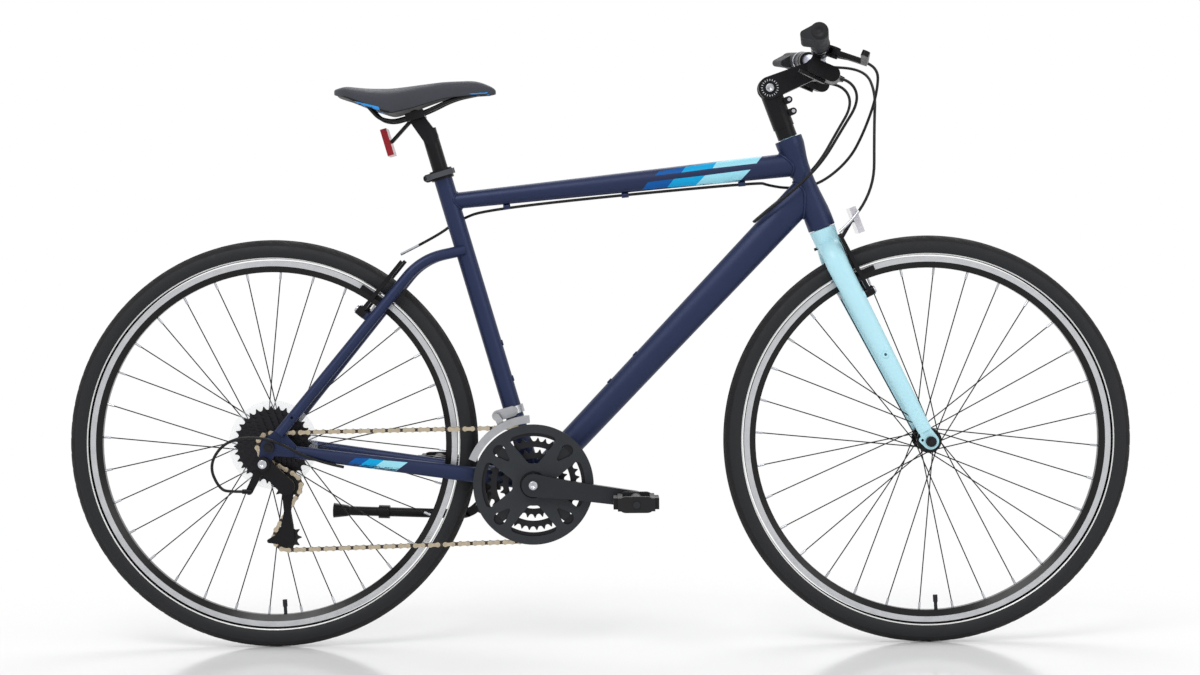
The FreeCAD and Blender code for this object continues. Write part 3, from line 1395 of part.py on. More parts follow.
def shifter_pod(side):
    """Gear shifter under and ahead of the bar, on its own clamp just inside the brake bracket."""
    sign = down_sign(side)
    start = -d.bracket_width / 2 - d.pod_gap
    ring = Part.makeCylinder(d.bracket_radius, d.pod_length / 3, Vector(start, 0, 0), -X_AXIS)
    depth = -sign * d.pod_below
    pod = slab(capsule(Vector(d.pod_radius / 3, depth, 0), Vector(d.pod_ahead - d.pod_radius, depth, 0),
                       d.pod_radius, d.pod_radius), 0, d.pod_length)
    pod = placed(pod, aim(Vector(start, 0, 0), -X_AXIS, Y_AXIS))
    web = Part.makeBox(d.pod_length / 3, d.bracket_radius, d.pod_below)
    web.translate(Vector(start - d.pod_length / 3, -d.bracket_radius / 2, 0 if sign > 0 else -d.pod_below))
    hole = Part.makeCylinder(d.bar_radius, d.pod_length * 2, Vector(start + d.pod_length / 2, 0, 0), -X_AXIS)
    body = ring.fuse([pod, web]).removeSplitter().cut(hole)
    seat = thumb_seat(side)
    pin = Part.makeCylinder(d.thumb_pin_radius, d.thumb_thick + d.working_gap * 2, seat, Vector(0, 0, sign))
    return [body.fuse(pin)]


def thumb_seat(side):
    sign = down_sign(side)
    start = -d.bracket_width / 2 - d.pod_gap
    return Vector(start - d.pod_length / 2, d.pod_ahead * RUN_SHARE, sign * (d.pod_below + d.pod_radius - d.working_gap))


def shift_lever(side):
    frame, normal = lever_frame(side)
    sign = down_sign(side)
    seat = thumb_seat(side) + Vector(0, 0, sign * d.working_gap * 2)
    flat_seat = Vector(seat.x, seat.y, 0)
    tip = flat_seat + Vector(d.thumb_length * RUN_SHARE, -d.thumb_length, 0)
    low, high = sorted((seat.z, seat.z + sign * d.thumb_thick))
    arm = chain_of([flat_seat, tip], [d.thumb_radius, d.thumb_radius], low, high)
    hole = Part.makeCylinder(d.thumb_pin_radius + d.running_clearance, d.thumb_thick * 4,
                             Vector(seat.x, seat.y, low - d.thumb_thick))
    return placed(arm.cut(hole), frame)


def brake_lever(side):
    frame, normal = lever_frame(side)
    pivot = Vector(d.bracket_width / 2, d.lever_pivot_ahead, 0)
    knee = pivot + Vector(d.lever_knee_out, d.lever_reach - d.lever_pivot_ahead, 0)
    tip = pivot + Vector(d.lever_length, d.lever_reach - d.lever_pivot_ahead, 0)
    half = d.lever_thick / 2
    arm = chain_of([pivot, knee, tip], [d.lever_boss_radius - d.working_gap, d.lever_finger_radius, d.lever_tip_radius],
                   -half, half)
    hole = Part.makeCylinder(d.lever_pivot_radius + d.running_clearance, d.lever_thick * 2, pivot - Z_AXIS * d.lever_thick)
    return placed(arm.cut(hole), frame)


def cockpit():
    stem()
    handlebar()
    node("grips", together(*(grip(-1) + grip(1))))
    node("lever_brackets", together(*[solid(piece, "bracket") for side in (-1, 1) for piece in lever_bracket(side)]))
    for side, word in ((-1, "right"), (1, "left")):
        node("brake_lever_" + word, solid(brake_lever(side), "brake_lever"))
        node("shift_lever_" + word, solid(shift_lever(side), "shift_lever"))


def brake_arm(axle, base, stand, side):
    """Arm on its stud with a pad facing the rim, in the frame of the stud, mirrored by side."""
    low = stand + d.stud_base_length + d.working_gap
    high = low + d.stud_length - d.working_gap
    boss = Part.makeCylinder(d.brake_arm_boss_radius, high - low, Vector(0, 0, low))
    middle = (low + high) / 2
    bottom, top = middle - d.brake_arm_thick / 2, middle + d.brake_arm_thick / 2
    tip = Vector(d.brake_arm_length, 0, 0)
    bar = chain_of([ZERO, tip], [d.brake_arm_boss_radius, d.brake_arm_tip_radius], bottom, top)
    # Pad centre: where the arm's line crosses the pad circle, seen from the side.
    pivot = base.multVec(Vector(0, 0, middle))
    along = base.Rotation.multVec(X_AXIS)
    spot = on_circle(axle, pivot, along, pad_circle)
    reach = (spot - pivot).Length
    radial = Vector(spot.x - axle.x, 0, spot.z - axle.z).normalize()
    tangent = Vector(-radial.z, 0, radial.x)
    inside = d.rim_width / 2 + d.pad_gap
    pad = Part.makeBox(d.pad_length, d.pad_height, d.pad_wall)
    pad.translate(Vector(-d.pad_length / 2, -d.pad_height / 2, 0))
    pad_place = aim(Vector(spot.x, side * inside, spot.z), Y_AXIS * side, tangent)
    post = rod(d.pad_post_radius, Vector(spot.x, side * (inside + d.pad_wall), spot.z),
               Vector(spot.x, side * d.stud_offset, spot.z))
    hole = Part.makeCylinder(d.stud_radius + d.running_clearance, high * 2)
    arm = placed(boss.fuse(bar).removeSplitter(), base).fuse(post).cut(placed(hole, base))
    return together(solid(arm, "brake_arm"), solid(placed(pad, pad_place), "brake_pad"))


def brakes():
    for side, word in ((-1, "right"), (1, "left")):
        node("front_brake_arm_" + word, brake_arm(front_axle, front_brake_base(side), d.blade_end_depth / 2, side))
        node("rear_brake_arm_" + word,
             brake_arm(rear_axle, rear_brake_base(side), d.seat_stay_radius - d.tube_wall / 2, side))


def pitch_radius(teeth):
    return float(d.chain_pitch) / (2 * math.sin(math.pi / teeth))


def chain_loop(cage_angle):
    """Circles and tangent runs of the chain in the side view, walked from the big ring's top backwards."""
    guide = side_point(rear_axle) + Vector(d.guide_pulley_ahead, -d.guide_pulley_below, 0)
    swing = Vector(math.cos(cage_angle), math.sin(cage_angle), 0)
    tension = guide + swing * d.pulley_spacing
    teeth = (CHAINRING_TEETH[0], COG_TEETH[0], PULLEY_TEETH, PULLEY_TEETH)
    centres = (side_point(crank_centre), side_point(rear_axle), guide, tension)
    turns = (1, 1, -1, 1)
    signed = [pitch_radius(count) * turn for count, turn in zip(teeth, turns)]
    runs = []
    for i in range(4):
        j = (i + 1) % 4
        gap = centres[j] - centres[i]
        spread = signed[i] - signed[j]
        length = math.sqrt(gap.Length ** 2 - spread ** 2)
        heading = math.atan2(gap.y, gap.x) + math.atan2(spread, length)
        runs.append((heading, length))
    steps = []
    for i in range(4):
        heading, length = runs[i]
        right = Vector(math.sin(heading), -math.cos(heading), 0)
        start = centres[i] + right * signed[i]
        steps.append(("run", start, Vector(math.cos(heading), math.sin(heading), 0), length / float(d.chain_pitch)))
        j = (i + 1) % 4
        turn = (runs[j][0] - heading) % (2 * math.pi)
        if turns[j] < 0:
            turn = turn - 2 * math.pi
        begin = heading - math.pi / 2 * turns[j]
        steps.append(("turn", centres[j], (abs(signed[j]), begin, turns[j], teeth[j]),
                      abs(turn) * teeth[j] / (2 * math.pi)))
    return steps, centres, sum(step[3] for step in steps)


def settle_chain():
    """Cage angle at which the loop holds a whole even number of links."""
    angle = math.radians(CAGE_START_ANGLE)
    wanted = 2 * round(chain_loop(angle)[2] / 2)
    small = math.radians(0.5)
    for _ in range(40):
        here = chain_loop(angle)[2] - wanted
        slope = (chain_loop(angle + small)[2] - wanted - here) / small
        angle -= max(-small * 8, min(small * 8, here / slope))
    return angle, wanted


def chain_pins(steps, wanted):
    """Pin positions, and the angle of one pin on each toothed wheel."""
    pins, phases, walked = [], {}, 0.0
    count = 0
    for step_index, (kind, spot, how, length) in enumerate(steps):
        while count < wanted and count < walked + length - 1e-9:
            part = count - walked
            if kind == "run":
                pins.append(spot + how * (part * float(d.chain_pitch)))
            else:
                radius, begin, turn, teeth = how
                angle = begin + turn * part * 2 * math.pi / teeth
                pins.append(spot + Vector(radius * math.cos(angle), radius * math.sin(angle), 0))
                phases.setdefault(step_index, angle)
            count += 1
        walked += length
    return pins, [phases[7], phases[1], phases[3], phases[5]]


def toothed(teeth, phase, centre, bore):
    """Flat sprocket face with a round seat for each roller."""
    radius = pitch_radius(teeth)
    seat = float(d.roller_radius + d.tooth_clearance)
    open_angle = math.radians(60)
    tip_radius = radius + float(d.tooth_height)
    tip_half = float(d.tooth_tip) / tip_radius
    step = 2 * math.pi / teeth
    edges = []
    first = None
    last = None
    for index in range(teeth):
        angle = phase + index * step
        middle = Vector(radius * math.cos(angle), radius * math.sin(angle), 0)

        def on_seat(swing):
            return middle + Vector(math.cos(angle + math.pi + swing), math.sin(angle + math.pi + swing), 0) * seat

        def on_tip(swing):
            return Vector(math.cos(angle + swing), math.sin(angle + swing), 0) * tip_radius

        low_tip, start, floor, end = on_tip(-step / 2 + tip_half), on_seat(open_angle), on_seat(0), on_seat(-open_angle)
        high_tip = on_tip(step / 2 - tip_half)
        if last is not None:
            edges.append(Part.LineSegment(last, low_tip).toShape())
        else:
            first = low_tip
        edges.append(Part.LineSegment(low_tip, start).toShape())
        edges.append(Part.Arc(start, floor, end).toShape())
        edges.append(Part.LineSegment(end, high_tip).toShape())
        last = high_tip
    edges.append(Part.LineSegment(last, first).toShape())
    face = holed(Part.Wire(edges), Part.Wire([Part.makeCircle(bore, ZERO, Z_AXIS)]))
    face.translate(centre)
    return face


def link_plate(radius):
    """Outline of one chain plate about two pin holes, drawn in at the middle."""
    pitch, end, waist = float(d.chain_pitch), float(radius), float(d.link_waist)
    lean = math.radians(50)
    x, y = end * math.cos(lean), end * math.sin(lean)
    corners = [Vector(x, y, 0), Vector(x, -y, 0), Vector(pitch - x, -y, 0), Vector(pitch - x, y, 0)]
    edges = [Part.Arc(corners[0], Vector(-end, 0, 0), corners[1]).toShape(),
             Part.Arc(corners[1], Vector(pitch / 2, -waist, 0), corners[2]).toShape(),
             Part.Arc(corners[2], Vector(pitch + end, 0, 0), corners[3]).toShape(),
             Part.Arc(corners[3], Vector(pitch / 2, waist, 0), corners[0]).toShape()]
    return Part.Face(Part.Wire(edges))


def chain_links():
    inside = d.inner_half_width
    plate = d.link_plate
    ends = (ZERO, Vector(d.chain_pitch, 0, 0))
    face = link_plate(d.link_end_radius)
    inner = [slab(face, inside, inside + plate), slab(face, -inside - plate, -inside)]
    for spot in ends:
        inner.append(Part.makeCylinder(d.roller_radius, inside * 2, spot - Z_AXIS * inside))
    inner_link = inner[0].multiFuse(inner[1:]).removeSplitter()
    for spot in ends:
        inner_link = inner_link.cut(Part.makeCylinder(d.pin_radius + d.pin_clearance, inside * 6,
                                                      spot - Z_AXIS * (inside * 3)))
    start = inside + plate + d.link_gap
    outer = [slab(face, start, start + plate), slab(face, -start - plate, -start)]
    reach = start + plate + d.pin_stand
    for spot in ends:
        outer.append(Part.makeCylinder(d.pin_radius, reach * 2, spot - Z_AXIS * reach))
    return inner_link, outer[0].multiFuse(outer[1:]).removeSplitter()


def drivetrain():
    cage_angle, wanted = settle_chain()
    steps, centres, total = chain_loop(cage_angle)
    pins, phases = chain_pins(steps, wanted)
    inner_link, outer_link = chain_links()
    links = []
    for index in range(len(pins)):
        start, end = pins[index], pins[(index + 1) % len(pins)]
        along = end - start
        middle = (start + end) / 2 - along / along.Length * (d.chain_pitch / 2)
        lift = Placement(Vector(middle.x, middle.y, d.chain_line), Rotation(X_AXIS, along))
        links.append(placed(outer_link if index % 2 == 0 else inner_link, SIDE_VIEW.multiply(lift)))
    node("chain", solid(Part.makeCompound(links), "chain"))

    wheel = side_point(rear_axle)
    cogs = []
    half = d.sprocket_wall / 2
    for index, teeth in enumerate(COG_TEETH):
        face = toothed(teeth, phases[1], wheel, d.cassette_carrier_radius)
        middle = d.chain_line - d.cog_pitch * index
        cogs.append(side_slab(face, middle - half, middle + half))
    outside = d.chain_line + half
    carrier_inner = d.hub_right_end + d.working_gap
    carrier = across(d.cassette_carrier_radius, rear_axle.x, rear_axle.z, -outside, -carrier_inner)
    lockring = across(d.lockring_radius, rear_axle.x, rear_axle.z, -outside - d.lockring_width, -outside)
    bore = across(d.axle_radius + d.running_clearance, rear_axle.x, rear_axle.z, -rear_side, 0)
    carrier = carrier.fuse(lockring).cut(bore)
    node("cassette", together(*[solid(piece, "cog") for piece in cogs + [carrier]]))

    crankset(phases[0])
    derailleur(centres[2], centres[3], phases[2], phases[3])
    shifter_cage()


def spider_angles():
    return [math.radians(45 + 90 * index) for index in range(SPIDER_ARMS)]


def crankset(phase):
    centre = side_point(crank_centre)
    half = d.ring_wall / 2
    rings = []
    for index, (teeth, bore) in enumerate(zip(CHAINRING_TEETH, (d.big_ring_bore, d.middle_ring_bore, d.small_ring_bore))):
        middle = d.chain_line - d.ring_pitch * index
        rings.append(solid(side_slab(toothed(teeth, phase, centre, bore), middle - half, middle + half), "ring"))
    node("chainrings", together(*rings))

    spider_outer = d.chain_line - half
    spider_inner = spider_outer - d.spider_wall
    middle_face, small_face = d.chain_line - d.ring_pitch + half, d.chain_line - d.ring_pitch * 2 + half
    drop = math.radians(CRANK_DROP_ANGLE)
    forward = Vector(math.cos(drop), -math.sin(drop), 0)
    inner, outer = d.crank_arm_inner, d.crank_arm_inner + d.crank_arm_wall
    eye = centre + forward * d.crank_length
    waist = centre + forward * (d.crank_length * CRANK_WAIST_SHARE)
    right = [slab(capsule(centre, waist, d.crank_hub_radius, d.crank_arm_radius), inner, outer),
             slab(capsule(waist, eye, d.crank_arm_radius, d.crank_eye_radius), inner, outer),
             Part.makeCylinder(d.crank_hub_radius, inner - spider_inner, centre + Z_AXIS * spider_inner),
             Part.makeCylinder(d.crank_cap_radius, d.crank_cap_stand, centre + Z_AXIS * outer),
             Part.makeCylinder(d.pedal_spindle_radius, d.pedal_spindle_length, eye + Z_AXIS * outer)]
    for angle in spider_angles():
        out = Vector(math.cos(angle), math.sin(angle), 0)
        right.append(slab(capsule(centre, centre + out * (d.spider_radius - d.spider_arm_radius), d.crank_hub_radius,
                                  d.spider_arm_radius), spider_inner, spider_outer))
        right.append(Part.makeCylinder(d.spider_bolt_radius, spider_inner - middle_face,
                                       centre + out * d.middle_bolt_circle + Z_AXIS * middle_face))
        right.append(Part.makeCylinder(d.spider_bolt_radius, spider_inner - small_face,
                                       centre + out * d.small_bolt_circle + Z_AXIS * small_face))
    right_arm = placed(right[0].multiFuse(right[1:]).removeSplitter(), SIDE_VIEW)
    back_eye, back_waist = centre - forward * d.crank_length, centre - forward * (d.crank_length * CRANK_WAIST_SHARE)
    hub_inner = d.shell_width / 2 + d.cup_width * 4
    left = [slab(capsule(centre, back_waist, d.crank_hub_radius, d.crank_arm_radius), -outer, -inner),
            slab(capsule(back_waist, back_eye, d.crank_arm_radius, d.crank_eye_radius), -outer, -inner),
            Part.makeCylinder(d.crank_hub_radius, inner - hub_inner, centre - Z_AXIS * inner),
            Part.makeCylinder(d.crank_cap_radius, d.crank_cap_stand, centre - Z_AXIS * (outer + d.crank_cap_stand)),
            Part.makeCylinder(d.pedal_spindle_radius, d.pedal_spindle_length,
                              back_eye - Z_AXIS * (outer + d.pedal_spindle_length))]
    left_arm = placed(left[0].multiFuse(left[1:]).removeSplitter(), SIDE_VIEW)
    spindle = across(d.spindle_radius, crank_centre.x, crank_centre.z, -spider_inner, hub_inner)
    node("crank_arms", together(*[solid(piece, "crank") for piece in (right_arm, left_arm, spindle)]))

    guard_inner = d.chain_line + d.inner_half_width + d.link_plate * 2 + d.link_gap + d.pin_stand + d.guard_gap
    node("chain_guard", solid(guard(centre, guard_inner), "chain_guard"))
    for side, spot, word in ((-1, eye, "right"), (1, back_eye, "left")):
        node("pedal_" + word, pedal(side, spot, outer + d.pedal_gap))


def guard(centre, inner):
    """Disc with four windows, standing on short feet that reach the big ring."""
    outer = inner + d.guard_wall
    disc = holed(Part.Wire([Part.makeCircle(d.guard_radius, centre, Z_AXIS)]),
                 Part.Wire([Part.makeCircle(d.guard_bore, centre, Z_AXIS)]))
    plate = slab(disc, inner, outer)
    ring = holed(Part.Wire([Part.makeCircle(d.guard_window_outer, centre, Z_AXIS)]),
                 Part.Wire([Part.makeCircle(d.guard_window_inner, centre, Z_AXIS)]))
    openings = ring
    for angle in spider_angles():
        out = Vector(math.cos(angle), math.sin(angle), 0)
        openings = openings.cut(capsule(centre, centre + out * d.guard_radius, d.guard_arm_half * GUARD_ROOT_SHARE,
                                        d.guard_arm_half * GUARD_TIP_SHARE))
    for window in openings.Faces:
        rounded = window.makeOffset2D(-d.guard_corner).makeOffset2D(d.guard_corner)
        plate = plate.cut(slab(rounded, inner, outer))
    for angle in spider_angles():
        out = Vector(math.cos(angle), math.sin(angle), 0)
        hole = slab(capsule(centre + out * (d.guard_window_outer - d.guard_arm_half * GUARD_HOLE_SHARES[0]),
                            centre + out * (d.guard_window_outer - d.guard_arm_half * GUARD_HOLE_SHARES[1]),
                            d.guard_arm_half * GUARD_HOLE_SHARES[2], d.guard_arm_half * GUARD_HOLE_SHARES[3]),
                    inner, outer)
        plate = plate.cut(hole)
        beside = Vector(-out.y, out.x, 0) * (d.guard_arm_half * GUARD_FOOT_SHARE)
        ring_face = d.chain_line + d.ring_wall / 2
        for shift in (-beside, beside):
            foot = centre + out * (d.big_ring_bore + d.guard_foot_radius) + shift
            plate = plate.fuse(Part.makeCylinder(d.guard_foot_radius, inner - ring_face, foot + Z_AXIS * ring_face))
    return placed(plate.removeSplitter(), SIDE_VIEW)


def pedal(side, spot, start):
    """Barrel with two end walls and two cage bars, and a reflector outside each bar."""
    end = start + d.pedal_width
    half_depth, half_height = d.pedal_depth / 2, d.pedal_height / 2
    corner = half_depth - half_height
    pieces = []
    for low in (start, end - d.pedal_end_wall):
        pieces.append(slab(capsule(spot - X_AXIS * corner, spot + X_AXIS * corner, half_height, half_height),
                           low, low + d.pedal_end_wall))
    pieces.append(Part.makeCylinder(d.pedal_barrel_radius, d.pedal_width, spot + Z_AXIS * start))
    for sign in (-1, 1):
        bar = Part.makeBox(d.pedal_cage_wall, d.pedal_height * 0.8, d.pedal_width)
        middle = spot + X_AXIS * (sign * (half_depth - d.pedal_cage_wall / 2))
        bar.translate(Vector(middle.x - d.pedal_cage_wall / 2, middle.y - d.pedal_height * 0.4, start))
        pieces.append(bar)
    body = pieces[0].multiFuse(pieces[1:]).removeSplitter()
    body = body.cut(Part.makeCylinder(d.pedal_spindle_radius + d.running_clearance, d.pedal_spindle_length,
                                      spot + Z_AXIS * (start - d.pedal_gap)))
    plates = [body]
    for sign in (-1, 1):
        lens = Part.makeBox(d.pedal_reflector_wall, d.pedal_reflector_height, d.pedal_reflector_length)
        edge = spot.x + sign * half_depth - (d.pedal_reflector_wall if sign < 0 else 0)
        lens.translate(Vector(edge, spot.y - d.pedal_reflector_height / 2,
                              (start + end) / 2 - d.pedal_reflector_length / 2))
        plates.append(lens.cut(body))
    plates = [placed(piece, SIDE_VIEW) for piece in plates]
    if side > 0:
        plates = [piece.mirror(ZERO, Y_AXIS) for piece in plates]
    return together(*[solid(piece, "pedal_piece") for piece in plates])


def pulley(teeth, phase, centre):
    half = d.sprocket_wall / 2
    wheel = slab(toothed(teeth, phase, centre, d.pulley_bore), d.chain_line - half, d.chain_line + half)
    hub = Part.makeCylinder(d.pulley_hub_radius, d.pulley_hub_half * 2, centre + Z_AXIS * (d.chain_line - d.pulley_hub_half))
    hub = hub.cut(Part.makeCylinder(d.pulley_bore, d.chain_line * 2, centre))
    return placed(wheel.fuse(hub).removeSplitter(), SIDE_VIEW)


def derailleur(guide, tension, guide_phase, tension_phase):
    node("guide_pulley", solid(pulley(PULLEY_TEETH, guide_phase, guide), "guide_pulley"))
    node("tension_pulley", solid(pulley(PULLEY_TEETH, tension_phase, tension), "tension_pulley"))
    inside, outside = d.chain_line - d.cage_half_width, d.chain_line + d.cage_half_width
    bolt = d.pulley_bore - d.running_clearance
    spots = [guide, (guide + tension) * 0.5, tension]
    radii = [d.cage_arm_radius, d.cage_waist_radius, d.cage_end_radius]
    inner_plate = chain_of(spots, radii, inside - d.cage_plate, inside)
    spots.append(tension + Vector(-d.cage_tail_back, -d.cage_tail_below, 0))
    radii.append(d.cage_tail_radius)
    outer_plate = chain_of(spots, radii, outside, outside + d.cage_plate)
    outer_plate = outer_plate.cut(Part.makeCylinder(d.cage_pivot_radius + d.running_clearance, outside * 2, guide))
    guide_bolt = Part.makeCylinder(bolt, outside - inside - d.working_gap, guide + Z_AXIS * inside)
    tension_bolt = Part.makeCylinder(bolt, outside - inside, tension + Z_AXIS * inside)
    inner_plate = inner_plate.fuse([guide_bolt])
    tension_side = outer_plate.fuse([tension_bolt])
    node("rear_derailleur_cage", together(
        *[solid(placed(piece, SIDE_VIEW), "cage") for piece in (inner_plate, tension_side)]))

    hanger = side_point(rear_axle) + Vector(-d.hanger_behind, -d.hanger_below, 0)
    hanger_face = rear_side + d.dropout_wall
    knuckle_inner = outside + d.cage_plate + d.working_gap
    outer = d.derailleur_outer
    b_knuckle = Part.makeCylinder(d.derailleur_knuckle_radius, outer - hanger_face, hanger + Z_AXIS * hanger_face)
    p_knuckle = Part.makeCylinder(d.derailleur_foot_radius, outer - d.derailleur_link_wall - knuckle_inner,
                                  guide + Z_AXIS * knuckle_inner)
    pin = Part.makeCylinder(d.cage_pivot_radius, d.cage_plate + d.working_gap,
                            guide + Z_AXIS * outside)
    links = [slab(capsule(hanger, guide, d.derailleur_knuckle_radius, d.derailleur_foot_radius),
                  hanger_face + d.working_gap * 4, outer - d.derailleur_link_wall)]
    barrel_seat = barrel_spot()
    barrel = Part.makeCylinder(d.barrel_radius, d.barrel_length,
                               Vector(barrel_seat.x, barrel_seat.z, -barrel_seat.y), X_AXIS)
    lug = slab(capsule(hanger, Vector(barrel_seat.x + d.barrel_length * 0.7, barrel_seat.z, 0), d.derailleur_link_radius,
                       d.barrel_radius * 1.5), hanger_face + d.working_gap * 2, outer - d.derailleur_link_wall * 2)
    body = b_knuckle.multiFuse([p_knuckle, pin, barrel, lug] + links).removeSplitter()
    node("rear_derailleur_body", solid(placed(body, SIDE_VIEW), "rear_derailleur_body"))


def barrel_spot():
    """Where the gear cable enters the rear derailleur."""
    return rear_axle + Vector(-d.hanger_behind - d.barrel_length * 2.2, -(rear_side + d.dropout_wall + d.barrel_radius * 1.6),
                              -d.hanger_below - d.barrel_length * 2.9)


def shifter_cage():
    """Front derailleur: a clamp with a guide block on the seat tube, and a cage on two pins that slides across."""
    middle = crank_centre + seat_dir * d.shifter_clamp_height
    low = middle - seat_dir * (d.shifter_clamp_width / 2)
    band = Part.makeCylinder(d.shifter_clamp_radius, d.shifter_clamp_width, low, seat_dir)
    block_spot = middle + seat_back * d.shifter_block_back
    flat, flat_middle = side_point(block_spot), side_point(middle)
    block = side_slab(capsule(flat_middle, flat, d.shifter_block_radius, d.shifter_block_radius),
                      d.shifter_block_inner, d.shifter_block_outer)
    web = side_slab(capsule(flat_middle, flat, d.shifter_block_radius * 0.7, d.shifter_block_radius * 0.7),
                    0, d.shifter_block_inner)
    bore = Part.makeCylinder(d.seat_tube_radius, d.shifter_clamp_width * 4, low - seat_dir * d.shifter_clamp_width, seat_dir)
    inner_plate = d.chain_line - d.shifter_cage_half
    hole = side_slab(Part.Face(Part.Wire([Part.makeCircle(d.shifter_pin_radius + d.running_clearance, flat, Z_AXIS)])),
                     -d.shifter_block_outer, inner_plate)
    body = band.fuse([block, web]).removeSplitter().cut(bore).cut(hole)
    node("front_derailleur_body", solid(body, "front_derailleur_body"))

    centre = side_point(crank_centre)
    start, end = math.radians(93), math.radians(158)

    def sector(low_radius, high_radius, first, last):
        def spot(radius, angle):
            return centre + Vector(radius * math.cos(angle), radius * math.sin(angle), 0)
        half = (first + last) / 2
        edges = [Part.Arc(spot(low_radius, first), spot(low_radius, half), spot(low_radius, last)).toShape(),
                 Part.LineSegment(spot(low_radius, last), spot(high_radius, last)).toShape(),
                 Part.Arc(spot(high_radius, last), spot(high_radius, half), spot(high_radius, first)).toShape(),
                 Part.LineSegment(spot(high_radius, first), spot(low_radius, first)).toShape()]
        return Part.Face(Part.Wire(edges))

    low_radius, high_radius = float(d.shifter_cage_inner_radius), float(d.shifter_cage_outer_radius)
    outer_face = d.chain_line + d.shifter_cage_half
    plate = d.shifter_cage_plate
    bridge = float(d.shifter_bridge_height)
    small = math.radians(7)
    pieces = [slab(sector(low_radius, high_radius, start, end), outer_face, outer_face + plate),
              slab(sector(low_radius, high_radius, start, end), inner_plate - plate, inner_plate),
              slab(sector(high_radius - bridge, high_radius, start, start + small), inner_plate, outer_face),
              slab(sector(high_radius - bridge, high_radius, end - small, end), inner_plate, outer_face)]
    on_plate = math.atan2(flat.y - centre.y, flat.x - centre.x)
    foot = centre + Vector(math.cos(on_plate), math.sin(on_plate), 0) * (high_radius - bridge)
    pieces.append(slab(capsule(foot, flat, d.shifter_pin_radius * 2, d.shifter_pin_radius * 1.6),
                       inner_plate - plate * 3, inner_plate - plate))
    pieces.append(Part.makeCylinder(d.shifter_pin_radius, inner_plate - plate * 3 - d.shifter_pin_tail,
                                    flat + Z_AXIS * d.shifter_pin_tail))
    cage = pieces[0].multiFuse(pieces[1:]).removeSplitter()
    node("front_derailleur_cage", solid(placed(cage, SIDE_VIEW), "front_derailleur_cage"))


# Saddle sections from the rear to the nose: place along the length, top, lower edge and half width, all shares.
SADDLE_SHARES = ((0.011, 0.746, 0.542, 0.6), (0.082, 0.814, 0.44, 0.9), (0.206, 0.763, 0.203, 1.0),
                 (0.349, 0.763, 0.0, 0.9), (0.491, 0.847, 0.17, 0.6), (0.669, 0.958, 0.44, 0.375),
                 (0.847, 0.983, 0.537, 0.29), (0.943, 0.864, 0.56, 0.225), (0.993, 0.712, 0.6, 0.11))
SADDLE_EDGE_SHARE = 0.93
SADDLE_SIDE_SHARE = 0.45
SADDLE_ARCH_SHARE = 0.3
# Rail corners as shares of the saddle length ahead of the clamp, of the rail spread, and of the length above it.
RAIL_SHARES = ((-0.3, 1.75, 0.085), (-0.215, 1.5, -0.012), (-0.135, 1.0, -0.028), (0.055, 1.0, 0.025),
               (0.235, 0.68, 0.112), (0.39, 0.42, 0.142))


def post_top():
    return seat_top + seat_dir * d.post_exposed


def clamp_centre():
    return post_top() + Vector(-d.clamp_back, 0, d.clamp_up)


def rails():
    centre = clamp_centre()
    pieces = []
    for side in (-1, 1):
        spots = [centre + Vector(d.saddle_length * x, side * d.rail_spread * y, d.saddle_length * z)
                 for x, y, z in RAIL_SHARES]
        pieces.append(cord(spots, d.rail_radius))
    return pieces


def saddle_solid():
    centre = clamp_centre()
    start = Vector(centre.x - d.saddle_behind_clamp, 0, centre.z + d.saddle_above_clamp)
    wires = []
    for place, top, low, half in SADDLE_SHARES:
        x = start.x + d.saddle_length * place
        high, bottom = start.z + d.saddle_height * top, start.z + d.saddle_height * low
        wide = d.saddle_half_width * half
        edge = wide * SADDLE_EDGE_SHARE
        side = bottom + (high - bottom) * SADDLE_SIDE_SHARE
        arch = bottom + (high - bottom) * SADDLE_ARCH_SHARE
        left, right = Vector(x, wide, side), Vector(x, -wide, side)
        left_low, right_low = Vector(x, edge, bottom), Vector(x, -edge, bottom)
        wires.append(Part.Wire([Part.Arc(left, Vector(x, 0, high), right).toShape(),
                                Part.LineSegment(right, right_low).toShape(),
                                Part.Arc(right_low, Vector(x, 0, arch), left_low).toShape(),
                                Part.LineSegment(left_low, left).toShape()]))
    return Part.makeLoft(wires, True, False)


